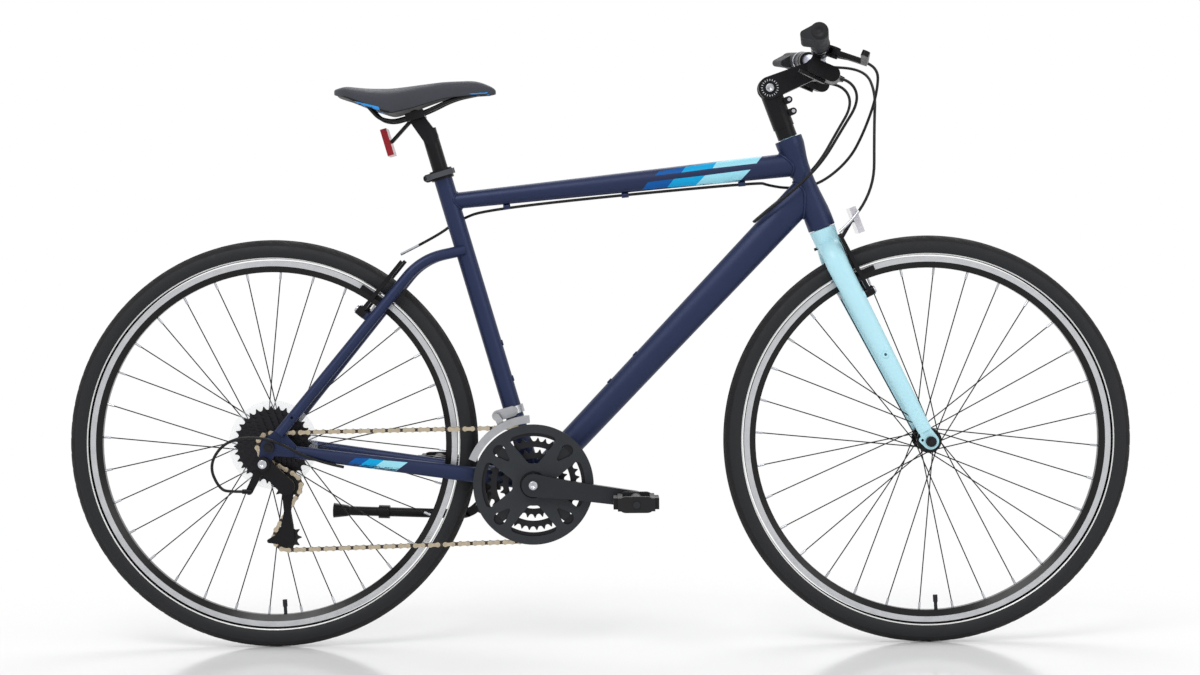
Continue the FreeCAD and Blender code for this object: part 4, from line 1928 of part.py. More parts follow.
def seat():
    top, centre = post_top(), clamp_centre()
    tube = Part.makeCylinder(d.post_radius, d.post_length, top - seat_dir * d.post_length, seat_dir)
    bore = Part.makeCylinder(d.post_radius - d.post_wall, d.post_length - d.post_radius,
                             top - seat_dir * d.post_length, seat_dir)
    head = side_slab(capsule(side_point(top - seat_dir * d.post_radius), side_point(centre), d.post_radius,
                             d.clamp_radius * 0.8), -d.clamp_half_width * 0.75, d.clamp_half_width * 0.75)
    run = Vector(d.saddle_length * (RAIL_SHARES[3][0] - RAIL_SHARES[2][0]), 0,
                 d.saddle_length * (RAIL_SHARES[3][2] - RAIL_SHARES[2][2])).normalize()
    seat_line = centre + Vector(d.saddle_length * RAIL_SHARES[2][0], 0, d.saddle_length * RAIL_SHARES[2][2])
    on_rail = seat_line + run * (centre - seat_line).dot(run)
    jaw = Part.makeBox(d.clamp_radius * 2, d.clamp_jaw_outer * 2, d.rail_radius * 4)
    jaw.translate(Vector(-d.clamp_radius, -d.clamp_jaw_outer, -d.rail_radius * 2))
    jaw.Placement = aim(on_rail, Vector(-run.z, 0, run.x), run).multiply(jaw.Placement)
    rail_pieces = rails()
    post = tube.fuse([head, jaw]).cut(bore).cut(Part.makeCompound(rail_pieces))
    node("seatpost", solid(post, "seatpost"))
    node("saddle_rails", together(*[solid(piece, "rail") for piece in rail_pieces]))
    pad = saddle_solid().cut(Part.makeCompound(rail_pieces))
    node("saddle", solid(pad, "saddle"))

    spot = centre + Vector(-d.rear_reflector_back, 0, -d.rear_reflector_below)
    panel = Part.makeBox(d.reflector_wall, d.rear_reflector_width, d.rear_reflector_height)
    panel.translate(Vector(-d.reflector_wall / 2, -d.rear_reflector_width / 2, -d.rear_reflector_height / 2))
    panel.Placement = aim(spot, seat_dir, -seat_back).multiply(panel.Placement)
    half = d.reflector_arm_width / 2
    front = spot - seat_back * (d.reflector_wall / 2 + d.reflector_arm_wall / 2)
    arm = side_slab(capsule(side_point(front), side_point(centre - Vector(d.clamp_radius * 0.6, 0, d.clamp_radius * 0.4)),
                            d.reflector_arm_wall, d.reflector_arm_wall), -half, half)
    arm = arm.cut(panel).cut(post)
    node("rear_reflector", together(solid(panel, "red_lens"), *[solid(piece, "reflector_arm") for piece in arm.Solids]))


def front_reflector():
    apex = arch_centre() + head_dir * blade_spread
    spot = apex + Vector(d.front_reflector_ahead, 0, d.front_reflector_above)
    panel = Part.makeBox(d.reflector_wall, d.front_reflector_width, d.front_reflector_height)
    panel.translate(Vector(-d.reflector_wall / 2, -d.front_reflector_width / 2, -d.front_reflector_height / 2))
    panel.Placement = aim(spot, head_dir, head_front).multiply(panel.Placement)
    half = d.reflector_arm_width / 2
    back = spot - head_front * (d.reflector_wall / 2 + d.reflector_arm_wall)
    foot = apex + head_front * (d.blade_top_depth / 2 + d.reflector_arm_wall)
    arm = side_slab(capsule(side_point(foot), side_point(back), d.reflector_arm_wall, d.reflector_arm_wall), -half, half)
    bolt = Part.makeCylinder(d.screw_radius, d.blade_top_depth + d.reflector_arm_wall * 4,
                             apex - head_front * (d.blade_top_depth / 2 + d.reflector_arm_wall * 2), head_front)
    arm = arm.fuse(bolt).cut(panel)
    crown = [obj for obj in nodes if obj.Label == "fork_crown"][0].Shape
    arm = arm.cut(crown)
    node("front_reflector", together(solid(panel, "clear_lens"), *[solid(piece, "reflector_arm") for piece in arm.Solids]))


STAND_AXIS = Vector(0.05, 0.9, 0.42).normalize()


def kickstand():
    pivot = crank_centre + Vector(-d.stand_pivot_back, d.stand_pivot_offset, -d.stand_pivot_below)
    half = d.stand_boss_width / 2
    elbow = pivot + Vector(-d.stand_elbow_back, d.stand_elbow_out, -d.stand_elbow_below)
    foot = pivot + Vector(-d.stand_leg_reach, d.stand_leg_out, -d.stand_leg_below)
    leg = cord([pivot, elbow, foot], d.stand_leg_radius)
    tip = (foot - elbow).normalize()
    shoe = Part.makeCone(d.stand_leg_radius + d.stand_foot_wall, d.stand_foot_radius, d.stand_foot_length,
                         foot - tip * (d.stand_foot_length / 2), tip)
    ring = Part.makeCylinder(d.stand_ring_radius, d.stand_ring_length,
                             foot - tip * (d.stand_ring_from_foot + d.stand_ring_length / 2), tip)
    ring = ring.cut(leg)
    boss = Part.makeCylinder(d.stand_boss_radius, d.stand_boss_width, pivot - STAND_AXIS * half, STAND_AXIS)
    room = Part.makeCylinder(d.stand_boss_radius * 3, d.stand_boss_width * 3,
                             pivot - STAND_AXIS * (half + d.stand_boss_width * 3), STAND_AXIS)
    bore = Part.makeCylinder(d.stand_pin_radius + d.running_clearance, d.stand_boss_width * 3,
                             pivot - STAND_AXIS * (d.stand_boss_width * 1.5), STAND_AXIS)
    leg = leg.cut(shoe).fuse(boss).cut(room).cut(bore)
    node("kickstand_leg", together(*[solid(piece, "stand") for piece in leg.Solids + [shoe, ring]]))

    pin = Part.makeCylinder(d.stand_pin_radius, d.stand_boss_width * 1.5 + d.working_gap,
                            pivot - STAND_AXIS * (half + d.working_gap + d.stand_boss_width / 2), STAND_AXIS)
    seat_face = pivot - STAND_AXIS * (half + d.working_gap)
    hub = Part.makeCylinder(d.stand_boss_radius, d.stand_boss_width, seat_face - STAND_AXIS * d.stand_boss_width, STAND_AXIS)
    stay_low = crank_centre + (chain_stay_end(1) - crank_centre) * (float(d.stand_bracket_back) / bracket_run)
    plate = Part.makeBox(d.stand_bracket_length, d.stand_bracket_width * 2, d.chain_stay_shell_height)
    plate.translate(Vector(crank_centre.x - d.stand_bracket_back - d.stand_bracket_length / 2, -d.stand_bracket_width,
                           stay_low.z - d.chain_stay_shell_height / 2 - d.stand_bracket_wall))
    anchor = Vector(plate.BoundBox.Center.x, d.stand_bracket_width - d.stand_boss_radius, plate.BoundBox.ZMin
                    + d.stand_bracket_wall / 2)
    hub_centre = seat_face - STAND_AXIS * (d.stand_boss_width / 2)
    post = rod(d.stand_boss_radius * 0.8, anchor, hub_centre)
    bracket = plate.fuse([hub, post])
    bracket = bracket.cut(Part.makeCylinder(d.stand_boss_radius * 4, d.stand_boss_width * 4, seat_face, STAND_AXIS))
    bracket = bracket.fuse(pin)
    for side in (-1, 1):
        shell_end = crank_centre + Y_AXIS * (side * d.chain_stay_shell_offset)
        skin = oval_loft(shell_end, chain_stay_end(side), (d.chain_stay_shell_height, d.chain_stay_shell_width),
                         (d.chain_stay_end_height, d.chain_stay_end_width), Z_AXIS)
        doc.recompute()
        bracket = bracket.cut(skin.Shape)
    biggest = max(bracket.Solids, key=lambda piece: piece.Volume)
    node("kickstand_bracket", solid(biggest, "kickstand_bracket"))


# Cable corners, each from a named anchor: those at the axle as shares of the rear hub, the rest of the wheelbase.
CABLE_SHARES = {
    "front_brake": (("bar", 0.082, 0.062, 0.004), ("bar", 0.094, 0.02, -0.034), ("bar", 0.087, -0.022, -0.085),
                    ("crown", 0.067, -0.0335, 0.063)),
    "rear_brake": (("bar", 0.09, -0.055, 0.004), ("bar", 0.092, -0.02, -0.04), ("bar", 0.075, 0.012, -0.096),
                   ("down", 0.066, 0.03, 0.046), ("down", 0.02, 0.036, 0.009), ("down", -0.026, 0.037, 0.004),
                   ("down", -0.062, 0.006, 0.009)),
    "rear_gear": (("bar", 0.05, -0.058, -0.022), ("bar", 0.0615, -0.05, -0.052), ("bar", 0.036, -0.04, -0.094),
                  ("down", 0.02, -0.031, 0.042), ("down", -0.02, -0.0285, 0.003), ("down", -0.062, -0.02, -0.03)),
    "rear_loop": (("axle", 0.533, -0.641, -0.167), ("axle", 0.017, -0.687, 0.137), ("axle", -0.500, -0.687, 0.121),
                  ("axle", -0.749, -0.674, -0.200), ("axle", -0.616, -0.620, -0.533)),
}


def anchor(name):
    spots = {"bar": bar_centre(), "crown": arch_centre() + head_dir * blade_spread, "down": down_tube_front,
             "axle": rear_axle}
    return spots[name]


def cable_spots(name):
    spots = []
    for start, x, y, z in CABLE_SHARES[name]:
        scale = d.rear_hub_width if start == "axle" else wheelbase
        spots.append(anchor(start) + Vector(scale * x, scale * y, scale * z))
    return spots


def lever_entry(side):
    """Start of a brake housing just off the lever's barrel, and the end of its straight lead."""
    frame, normal = lever_frame(side)
    start = -d.bracket_width / 2 - d.barrel_length - d.working_gap
    ahead = d.lever_pivot_ahead * RUN_SHARE * 2
    return [frame.multVec(Vector(start, ahead, 0)), frame.multVec(Vector(start - d.cable_lead, ahead, 0))]


def pod_entry(side):
    """Start of a gear housing just off the shifter, and the end of its straight lead."""
    frame, normal = lever_frame(side)
    start = -d.bracket_width / 2 - d.pod_gap - d.pod_length - d.working_gap
    ahead, below = d.pod_ahead * RUN_SHARE, down_sign(side) * d.pod_below
    return [frame.multVec(Vector(start, ahead, below)), frame.multVec(Vector(start - d.cable_lead, ahead, below))]


def arm_tip(axle, base, stand, side):
    low = stand + d.stud_base_length + d.working_gap
    middle = low + (d.stud_length - d.working_gap) / 2
    return base.multVec(Vector(d.brake_arm_length, 0, middle))


def cables():
    """Housings that the frame and levers hold from end to end."""
    tip = arm_tip(front_axle, front_brake_base(-1), d.blade_end_depth / 2, -1)
    above = tip + head_dir * (d.brake_arm_tip_radius + d.cable_radius + d.working_gap)
    front = cord(lever_entry(1) + cable_spots("front_brake") + [above], d.cable_radius)
    node("front_brake_cable", solid(front, "front_brake_cable"))

    guides = []
    for share, lead in ((GUIDE_SHARES[-1], d.guide_length * 2.6), (GUIDE_SHARES[0], -d.guide_length * 2.6)):
        spot, down = top_tube_under(share)
        slope = guide_slope()
        guides.append(spot + down * d.guide_wall_shift + slope * lead)
    tip = arm_tip(rear_axle, rear_brake_base(1), d.seat_stay_radius - d.tube_wall / 2, 1)
    beside = d.seat_tube_radius + d.cable_radius * 2
    passing = crank_centre + seat_dir * (top_tube_seat_point - d.top_tube_seat_height * 1.25) + Y_AXIS * beside
    behind = passing + seat_back * (d.seat_tube_radius * 2.2) - Z_AXIS * d.seat_tube_radius
    over = tip + seat_dir * (d.brake_arm_tip_radius * 3.2)
    above = tip + seat_dir * (d.brake_arm_tip_radius + d.cable_radius + d.working_gap)
    rear = cord(lever_entry(-1) + cable_spots("rear_brake") + guides + [passing, behind, over], d.cable_radius)
    end = barrel_spot() - X_AXIS * d.working_gap
    gear_spots = cable_spots("rear_gear")
    gear = cord(pod_entry(-1) + gear_spots, d.cable_radius)
    other = cord(pod_entry(1) + [Vector(spot.x, -spot.y, spot.z) for spot in gear_spots], d.cable_radius)
    port = oval_loft(crank_centre, down_tube_front, (d.down_tube_foot_height, d.down_tube_foot_width),
                     (d.down_tube_head_height, d.down_tube_head_width), Z_AXIS)
    doc.recompute()
    gears = [max(piece.cut(port.Shape).Solids, key=lambda part: part.Volume) for piece in (gear, other)]
    shell_end = crank_centre - Y_AXIS * d.chain_stay_shell_offset
    on_stay = shell_end + (chain_stay_end(-1) - shell_end) * STAY_STOP_SHARE
    stop = on_stay - Z_AXIS * (d.chain_stay_end_height / 2 + d.cable_radius * 1.8)
    loop = cord([stop] + cable_spots("rear_loop") + [end - X_AXIS * d.cable_lead, end], d.cable_radius)
    node("frame_cables", together(*[solid(piece, "housing") for piece in [rear] + gears]))
    node("gear_cable_loop", solid(loop, "gear_cable_loop"))


head_core, shell_core, seat_core = frame_tubes()
stays(shell_core, seat_core)
bearings()
seat_collar()
fork()
wheels()
cockpit()
brakes()
drivetrain()
seat()
doc.recompute()
front_reflector()
kickstand()
cables()
doc.recompute()

faults = [obj.Label for obj in doc.Objects if {"Invalid", "Error"} & set(obj.State)]
if faults:
    raise RuntimeError("objects failed: " + ", ".join(faults))
bad = []
for obj in nodes:
    shape = obj.Shape
    if shape.isNull() or not shape.Solids or not shape.isValid():
        bad.append(obj.Label)
if bad:
    raise RuntimeError("bad shapes: " + ", ".join(bad))
for obj in nodes:
    obj.Shape.exportStep("parts/" + obj.Label + ".step")
print(len(nodes), "sub-parts written")
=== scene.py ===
"""Looks of the hybrid bike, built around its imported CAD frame."""
import math

import bmesh
import bpy
from mathutils import Matrix, Vector
from mathutils.bvhtree import BVHTree


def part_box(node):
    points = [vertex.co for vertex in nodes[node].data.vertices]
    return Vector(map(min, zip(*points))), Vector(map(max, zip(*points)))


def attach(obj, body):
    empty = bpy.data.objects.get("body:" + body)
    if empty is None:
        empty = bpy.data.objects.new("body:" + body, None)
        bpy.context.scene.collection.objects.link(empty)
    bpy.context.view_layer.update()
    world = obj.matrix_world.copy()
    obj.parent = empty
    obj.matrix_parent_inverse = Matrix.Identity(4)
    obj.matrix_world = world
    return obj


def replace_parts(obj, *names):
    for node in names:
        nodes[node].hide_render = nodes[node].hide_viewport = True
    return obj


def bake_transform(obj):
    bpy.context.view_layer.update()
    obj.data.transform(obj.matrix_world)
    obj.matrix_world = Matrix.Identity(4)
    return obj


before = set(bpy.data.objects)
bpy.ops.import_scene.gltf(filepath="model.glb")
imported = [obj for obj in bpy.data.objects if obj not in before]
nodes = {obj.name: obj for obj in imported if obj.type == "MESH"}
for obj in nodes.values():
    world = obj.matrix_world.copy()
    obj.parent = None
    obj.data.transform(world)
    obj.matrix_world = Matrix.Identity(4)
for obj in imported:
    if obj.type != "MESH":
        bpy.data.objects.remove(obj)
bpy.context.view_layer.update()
scene = bpy.context.scene
MM = 0.001
SIDES = (-1, 1)

# Layout points of the CAD model, in millimetres, in its frame.
AXLE_HEIGHT = 351.0
REAR_AXLE = Vector((-562.0, 0.0, AXLE_HEIGHT))
FRONT_AXLE = Vector((562.0, 0.0, AXLE_HEIGHT))
CRANK = Vector((-115.144, 0.0, 283.0))
SEAT_TOP = Vector((-272.318, 0.0, 820.491))


# Camera, fitted to the photograph's axles, bracket and head tube.
CAMERA_LENS = 74.744
CAMERA_SENSOR = 36.0
CAMERA_PLACE = Vector((-10.317, -4288.553, 680.2))
CAMERA_YAW, CAMERA_PITCH, CAMERA_ROLL = 0.0023916, 0.0349851, -0.007127


def make_camera():
    data = bpy.data.cameras.new("camera")
    data.lens = CAMERA_LENS
    data.sensor_width = CAMERA_SENSOR
    camera = bpy.data.objects.new("camera", data)
    scene.collection.objects.link(camera)
    yaw, pitch, roll = CAMERA_YAW, CAMERA_PITCH, CAMERA_ROLL
    level = math.cos(pitch)
    ahead = Vector((math.sin(yaw) * level, math.cos(yaw) * level, -math.sin(pitch)))
    right = Vector((math.cos(yaw), -math.sin(yaw), 0))
    up = right.cross(ahead)
    side = right * math.cos(roll) + up * math.sin(roll)
    top = up * math.cos(roll) - right * math.sin(roll)
    turn = Matrix((side, top, -ahead)).transposed()
    camera.matrix_world = Matrix.Translation(CAMERA_PLACE * MM) @ turn.to_4x4()
    scene.camera = camera


make_camera()


# Pixels of the 1200 by 675 photograph to points of the middle plane.
PHOTO_CENTRE = (600.8, 440.75)
PHOTO_SCALE = 1.724
PHOTO_ROLL = 0.0072


def on_plane(spot):
    u, v = spot[0] - PHOTO_CENTRE[0], PHOTO_CENTRE[1] - spot[1]
    across = PHOTO_SCALE * (u + PHOTO_ROLL * v)
    return Vector((across, 0, AXLE_HEIGHT + PHOTO_SCALE * (v - PHOTO_ROLL * u)))


# Node groups that several materials share.
def new_group(name, inputs, outputs):
    group = bpy.data.node_groups.new(name, "ShaderNodeTree")
    for label, kind, value in inputs:
        socket = group.interface.new_socket(name=label, in_out="INPUT", socket_type=kind)
        socket.default_value = value
    for label, kind in outputs:
        group.interface.new_socket(name=label, in_out="OUTPUT", socket_type=kind)
    return group, group.nodes.new("NodeGroupInput"), group.nodes.new("NodeGroupOutput")


FLOAT, COLOUR, VECTOR = "NodeSocketFloat", "NodeSocketColor", "NodeSocketVector"


def surface_group():
    """Two tones mixed by broad noise, roughness that varies with it, and a fine grain in the normal."""
    group, given, result = new_group(
        "surface",
        [("Tone", COLOUR, (0.1, 0.1, 0.1, 1)), ("Other", COLOUR, (0.12, 0.12, 0.12, 1)),
         ("Broad", FLOAT, 12.0), ("Fine", FLOAT, 900.0), ("Smooth", FLOAT, 0.3), ("Rough", FLOAT, 0.5),
         ("Grain", FLOAT, 0.1), ("Stretch", VECTOR, (1, 1, 1))],
        [("Colour", COLOUR), ("Roughness", FLOAT), ("Normal", VECTOR)])
    link = group.links.new
    place = group.nodes.new("ShaderNodeTexCoord")
    stretch = group.nodes.new("ShaderNodeVectorMath")
    stretch.operation = "MULTIPLY"
    link(place.outputs["Object"], stretch.inputs[0])
    link(given.outputs["Stretch"], stretch.inputs[1])
    broad = group.nodes.new("ShaderNodeTexNoise")
    broad.inputs["Detail"].default_value = 4.0
    link(stretch.outputs["Vector"], broad.inputs["Vector"])
    link(given.outputs["Broad"], broad.inputs["Scale"])
    mix = group.nodes.new("ShaderNodeMix")
    mix.data_type = "RGBA"
    link(broad.outputs["Fac"], mix.inputs["Factor"])
    link(given.outputs["Tone"], mix.inputs["A"])
    link(given.outputs["Other"], mix.inputs["B"])
    link(mix.outputs["Result"], result.inputs["Colour"])
    ramp = group.nodes.new("ShaderNodeMapRange")
    link(broad.outputs["Fac"], ramp.inputs["Value"])
    ramp.inputs["From Min"].default_value = 0.3
    ramp.inputs["From Max"].default_value = 0.7
    link(given.outputs["Smooth"], ramp.inputs["To Min"])
    link(given.outputs["Rough"], ramp.inputs["To Max"])
    link(ramp.outputs["Result"], result.inputs["Roughness"])
    fine = group.nodes.new("ShaderNodeTexNoise")
    fine.inputs["Detail"].default_value = 2.0
    link(stretch.outputs["Vector"], fine.inputs["Vector"])
    link(given.outputs["Fine"], fine.inputs["Scale"])
    bump = group.nodes.new("ShaderNodeBump")
    bump.inputs["Distance"].default_value = 0.0006
    link(fine.outputs["Fac"], bump.inputs["Height"])
    link(given.outputs["Grain"], bump.inputs["Strength"])
    link(bump.outputs["Normal"], result.inputs["Normal"])
    return group


SURFACE = surface_group()


def tone(red, green, blue):
    """A colour given in display values, as linear light."""
    parts = []
    for part in (red, green, blue):
        share = part / 255.0
        parts.append(share / 12.92 if share <= 0.04045 else ((share + 0.055) / 1.055) ** 2.4)
    return (*parts, 1.0)


def material(name, first, other, smooth, rough, grain=0.1, broad=12.0, fine=900.0, stretch=(1, 1, 1),
             **sockets):
    """A finish from two tones and two roughness values; sockets are set on the shader itself."""
    made = bpy.data.materials.new(name)
    made.use_nodes = True
    tree = made.node_tree
    shader = tree.nodes["Principled BSDF"]
    effect = tree.nodes.new("ShaderNodeGroup")
    effect.node_tree = SURFACE
    effect.location = (-320, 120)
    for label, value in (("Tone", first), ("Other", other), ("Broad", broad), ("Fine", fine),
                         ("Smooth", smooth), ("Rough", rough), ("Grain", grain), ("Stretch", stretch)):
        effect.inputs[label].default_value = value
    tree.links.new(effect.outputs["Colour"], shader.inputs["Base Color"])
    tree.links.new(effect.outputs["Roughness"], shader.inputs["Roughness"])
    tree.links.new(effect.outputs["Normal"], shader.inputs["Normal"])
    for label, value in sockets.items():
        shader.inputs[label.replace("_", " ")].default_value = value
    return made


M = {
    "navy": material("navy_paint", tone(29, 40, 72), tone(34, 45, 79), 0.36, 0.44,
                     grain=0.05, broad=30, fine=2600, Metallic=0.3, Specular_IOR_Level=0.3),
    "aqua": material("aqua_paint", tone(180, 227, 239), tone(186, 231, 242), 0.26, 0.34,
                     grain=0.0, broad=20, fine=2400, Specular_IOR_Level=0.3),
    "black": material("black_alloy", tone(17, 17, 19), tone(24, 24, 27), 0.3, 0.42,
                      grain=0.12, broad=40, fine=3000, Metallic=0.3, Specular_IOR_Level=0.2),
    "gloss_black": material("gloss_black", tone(12, 12, 14), tone(18, 18, 20), 0.18, 0.28,
                            grain=0.03, broad=30, Metallic=0.2, Specular_IOR_Level=0.3),
    "silver": material("brushed_silver", tone(196, 198, 203), tone(168, 170, 176), 0.2, 0.36,
                       grain=0.12, broad=25, fine=700, stretch=(1, 6, 1), Metallic=1.0),
    "track": material("machined_track", tone(205, 206, 208), tone(176, 177, 181), 0.26, 0.42,
                      grain=0.15, broad=60, fine=1500, Metallic=0.85),
    "bar": material("bar_grey", tone(158, 160, 178), tone(142, 144, 163), 0.3, 0.42,
                    grain=0.06, broad=40, Metallic=0.7),
    "steel": material("plated_steel", tone(186, 187, 190), tone(150, 151, 155), 0.2, 0.38,
                      grain=0.08, broad=50, Metallic=1.0),
    "dark_steel": material("black_steel", tone(26, 26, 29), tone(44, 44, 48), 0.28, 0.46,
                           grain=0.1, broad=60, Metallic=0.6, Specular_IOR_Level=0.3),
    "spoke": material("black_spoke", tone(12, 12, 14), tone(20, 20, 22), 0.35, 0.5,
                      grain=0.05, broad=60, Specular_IOR_Level=0.2),
    "crank": material("crank_black", tone(30, 32, 36), tone(38, 40, 45), 0.26, 0.38,
                      grain=0.06, broad=30, fine=2600, Metallic=0.3, Specular_IOR_Level=0.35),
    "lever": material("lever_grey", tone(84, 87, 92), tone(66, 68, 73), 0.24, 0.4,
                      grain=0.08, broad=40, Metallic=0.8),
    # Darker copy of the chain steel: painted shade on every chain face except the outer plates' outer faces.
    "link": material("chain_painted_shade", tone(74, 66, 56), tone(52, 46, 39), 0.35, 0.55,
                     grain=0.1, broad=160, Metallic=0.7),
    "chain": material("chain_steel", tone(206, 192, 168), tone(160, 148, 128), 0.24, 0.44,
                      grain=0.1, broad=160, Metallic=0.9),
    "tyre": material("tyre_rubber", tone(24, 24, 26), tone(32, 32, 34), 0.62, 0.82,
                     grain=0.35, broad=40, fine=1400, Specular_IOR_Level=0.25),
    "sidewall": material("tyre_sidewall", tone(28, 29, 31), tone(38, 39, 42), 0.5, 0.68,
                         grain=0.2, broad=60, fine=2200, Specular_IOR_Level=0.25),
    "reflect": material("reflective_band", tone(226, 226, 224), tone(204, 205, 206), 0.35, 0.5,
                        grain=0.1, broad=200, Metallic=0.2),
    "rubber": material("grip_rubber", tone(30, 31, 34), tone(42, 43, 47), 0.55, 0.75,
                       grain=0.4, broad=60, fine=1100, Specular_IOR_Level=0.25),
    "plastic": material("black_plastic", tone(18, 18, 20), tone(27, 27, 30), 0.36, 0.55,
                        grain=0.2, broad=50, fine=1600, Specular_IOR_Level=0.25),
    "guard": material("guard_plastic", tone(46, 49, 54), tone(38, 41, 45), 0.36, 0.5,
                      grain=0.18, broad=40, fine=1500, Specular_IOR_Level=0.25),
    "cover": material("saddle_cover", tone(52, 54, 61), tone(63, 65, 73), 0.48, 0.62,
                      grain=0.45, broad=35, fine=1250, Specular_IOR_Level=0.3),
    "blue": material("blue_accent", tone(24, 140, 222), tone(40, 158, 234), 0.32, 0.45,
                     grain=0.2, broad=60, fine=1600),
    "red_lens": material("red_lens", tone(158, 14, 32), tone(112, 6, 18), 0.12, 0.24,
                         grain=0.5, broad=160, fine=420, Specular_IOR_Level=0.3),
    "clear_lens": material("clear_lens", tone(214, 214, 220), tone(178, 172, 182), 0.06, 0.18,
                           grain=0.5, broad=160, fine=420, Coat_Weight=0.8, Metallic=0.35),
    "housing": material("cable_housing", tone(14, 14, 16), tone(22, 22, 24), 0.3, 0.42,
                        grain=0.08, broad=80, Specular_IOR_Level=0.25),
    "decal_deep": material("decal_deep_blue", tone(6, 84, 158), tone(10, 90, 165), 0.36, 0.44,
                           grain=0.04, broad=60, Specular_IOR_Level=0.15),
    "decal_cyan": material("decal_cyan", tone(8, 158, 214), tone(14, 165, 220), 0.36, 0.44,
                           grain=0.04, broad=60, Specular_IOR_Level=0.15),
    "decal_pale": material("decal_pale_aqua", tone(148, 216, 234), tone(154, 220, 237), 0.36, 0.44,
                           grain=0.04, broad=60, Specular_IOR_Level=0.3),
    "clear": material("clear_disc", tone(236, 240, 243), tone(226, 232, 236), 0.08, 0.16,
                      grain=0.03, broad=30, Alpha=0.16),
}


def radius_about(axle, centre):
    return math.hypot(centre.x * 1000 - axle.x, centre.z * 1000 - axle.z)


def dress(name, base, *rules):
    """Gives a CAD node its materials: base, then each rule's material where its test of a face holds."""
    obj = nodes[name]
    obj.data.materials.clear()
    obj.data.materials.append(M[base])
    for extra, _ in rules:
        obj.data.materials.append(M[extra])
    for face in obj.data.polygons:
        face.material_index = 0
        for place, (_, test) in enumerate(rules):
            if test(face.center, face.normal):
                face.material_index = place + 1


def loose_pieces(mesh):
    """Faces of a mesh, grouped by the connected piece that they belong to."""
    owner = list(range(len(mesh.vertices)))

    def root(place):
        while owner[place] != place:
            owner[place] = owner[owner[place]]
            place = owner[place]
        return place

    spots = {}
    for vert in mesh.vertices:
        key = tuple(round(c, 6) for c in vert.co)
        owner[vert.index] = spots.setdefault(key, vert.index)
    for face in mesh.polygons:
        first = root(face.vertices[0])
        for other in face.vertices[1:]:
            owner[root(other)] = first
    groups = {}
    for face in mesh.polygons:
        groups.setdefault(root(face.vertices[0]), []).append(face)
    return list(groups.values())


def dress_pieces(name, stuff, choose):
    """Materials of a node by piece: choose picks from stuff by a piece's rank by area and its width."""
    obj = nodes[name]
    obj.data.materials.clear()
    for key in stuff:
        obj.data.materials.append(M[key])
    groups = sorted(loose_pieces(obj.data), key=lambda faces: -sum(face.area for face in faces))
    for rank, faces in enumerate(groups):
        sides = [obj.data.vertices[v].co.y for face in faces for v in face.vertices]
        place = choose(rank, max(sides) - min(sides))
        for face in faces:
            face.material_index = place


for node_name in ("head_tube", "top_tube", "down_tube", "seat_tube", "bottom_bracket_shell", "chain_stays",
                  "seat_stays", "rear_dropouts"):
    dress(node_name, "navy")
for node_name in ("fork_crown", "fork_blades"):
    dress(node_name, "aqua")
for node_name in ("lever_brackets", "brake_lever_right", "brake_lever_left", "shift_lever_right",
                  "shift_lever_left", "seat_collar", "kickstand_bracket", "kickstand_leg", "seatpost",
                  "rear_derailleur_body", "rear_derailleur_cage", "front_brake_arm_right",
                  "front_brake_arm_left", "rear_brake_arm_right", "rear_brake_arm_left"):
    dress(node_name, "black")


CHAIN_LINE, OUTER_PLATE_FACE = 58.5, 2.8
FACES_ACROSS = 0.7


def outer_plate(centre, normal):
    """Test for faces that look across the bike on the outside of the chain's outer plates."""
    beyond = abs(abs(centre.y * 1000) - CHAIN_LINE) > OUTER_PLATE_FACE
    return abs(normal.y) > FACES_ACROSS and beyond


def near(spot, reach):
    """Test for faces within reach of an axis through spot, across the bike, in millimetres."""
    def test(centre, normal):
        return math.hypot(centre.x * 1000 - spot[0], centre.z * 1000 - spot[1]) < reach
    return test


HANGER = (-572.5, 322.5)
STEM_PIVOT = (293.22, 955.66)
PINCH_BOLTS = ((334.0, 916.5), (326.7, 936.1))
PINCH_BOLT_REACH = 3.2
GRIP_RING_END = 0.1835
CLEAR_DISC_WIDTH = 0.002
TRACK_INNER, TRACK_OUTER = 305.2, 315.2
TRACK_FACES = 0.8
NIPPLE_INNER = 281.0
dress("crank_arms", "crank")
for node_name in ("bearings", "front_derailleur_body", "front_derailleur_cage"):
    dress(node_name, "steel")
for node_name in ("front_axle", "rear_axle"):
    dress(node_name, "dark_steel")
dress("handlebar", "bar")
dress("stem", "black", *[("silver", near(spot, PINCH_BOLT_REACH)) for spot in PINCH_BOLTS])
dress("grips", "rubber", ("silver", lambda centre, normal: abs(centre.y) < GRIP_RING_END))
dress("saddle_rails", "gloss_black")
# Only the outer plates' outer faces get the chain steel; all other chain faces get its darker copy, painted
# shade between the plates.
dress("chain", "link", ("chain", outer_plate))
for node_name in ("chainrings", "cassette"):
    dress(node_name, "dark_steel")
dress("chain_guard", "guard")
for node_name in ("pedal_right", "pedal_left", "guide_pulley", "tension_pulley"):
    dress(node_name, "plastic")
dress_pieces("rear_reflector", ("red_lens", "plastic"), lambda rank, width: min(rank, 1))
dress_pieces("front_reflector", ("clear_lens", "plastic"), lambda rank, width: min(rank, 1))
dress("front_hub", "gloss_black")
dress_pieces("rear_hub", ("gloss_black", "clear"), lambda rank, width: 1 if width < CLEAR_DISC_WIDTH else 0)
dress("seat_collar_lever", "lever")
for node_name in ("front_inner_tube", "rear_inner_tube"):
    dress(node_name, "rubber")
for end, axle in (("front", FRONT_AXLE), ("rear", REAR_AXLE)):
    dress(end + "_rim", "gloss_black",
          ("track", lambda c, n, axle=axle: (TRACK_INNER < radius_about(axle, c) < TRACK_OUTER
                                             and abs(n.y) > TRACK_FACES)))
    dress(end + "_spokes", "spoke",
          ("silver", lambda c, n, axle=axle: radius_about(axle, c) > NIPPLE_INNER))


def new_object(name, mesh, *stuff):
    for made in stuff:
        mesh.materials.append(M[made])
    obj = bpy.data.objects.new(name, mesh)
    scene.collection.objects.link(obj)
    return obj


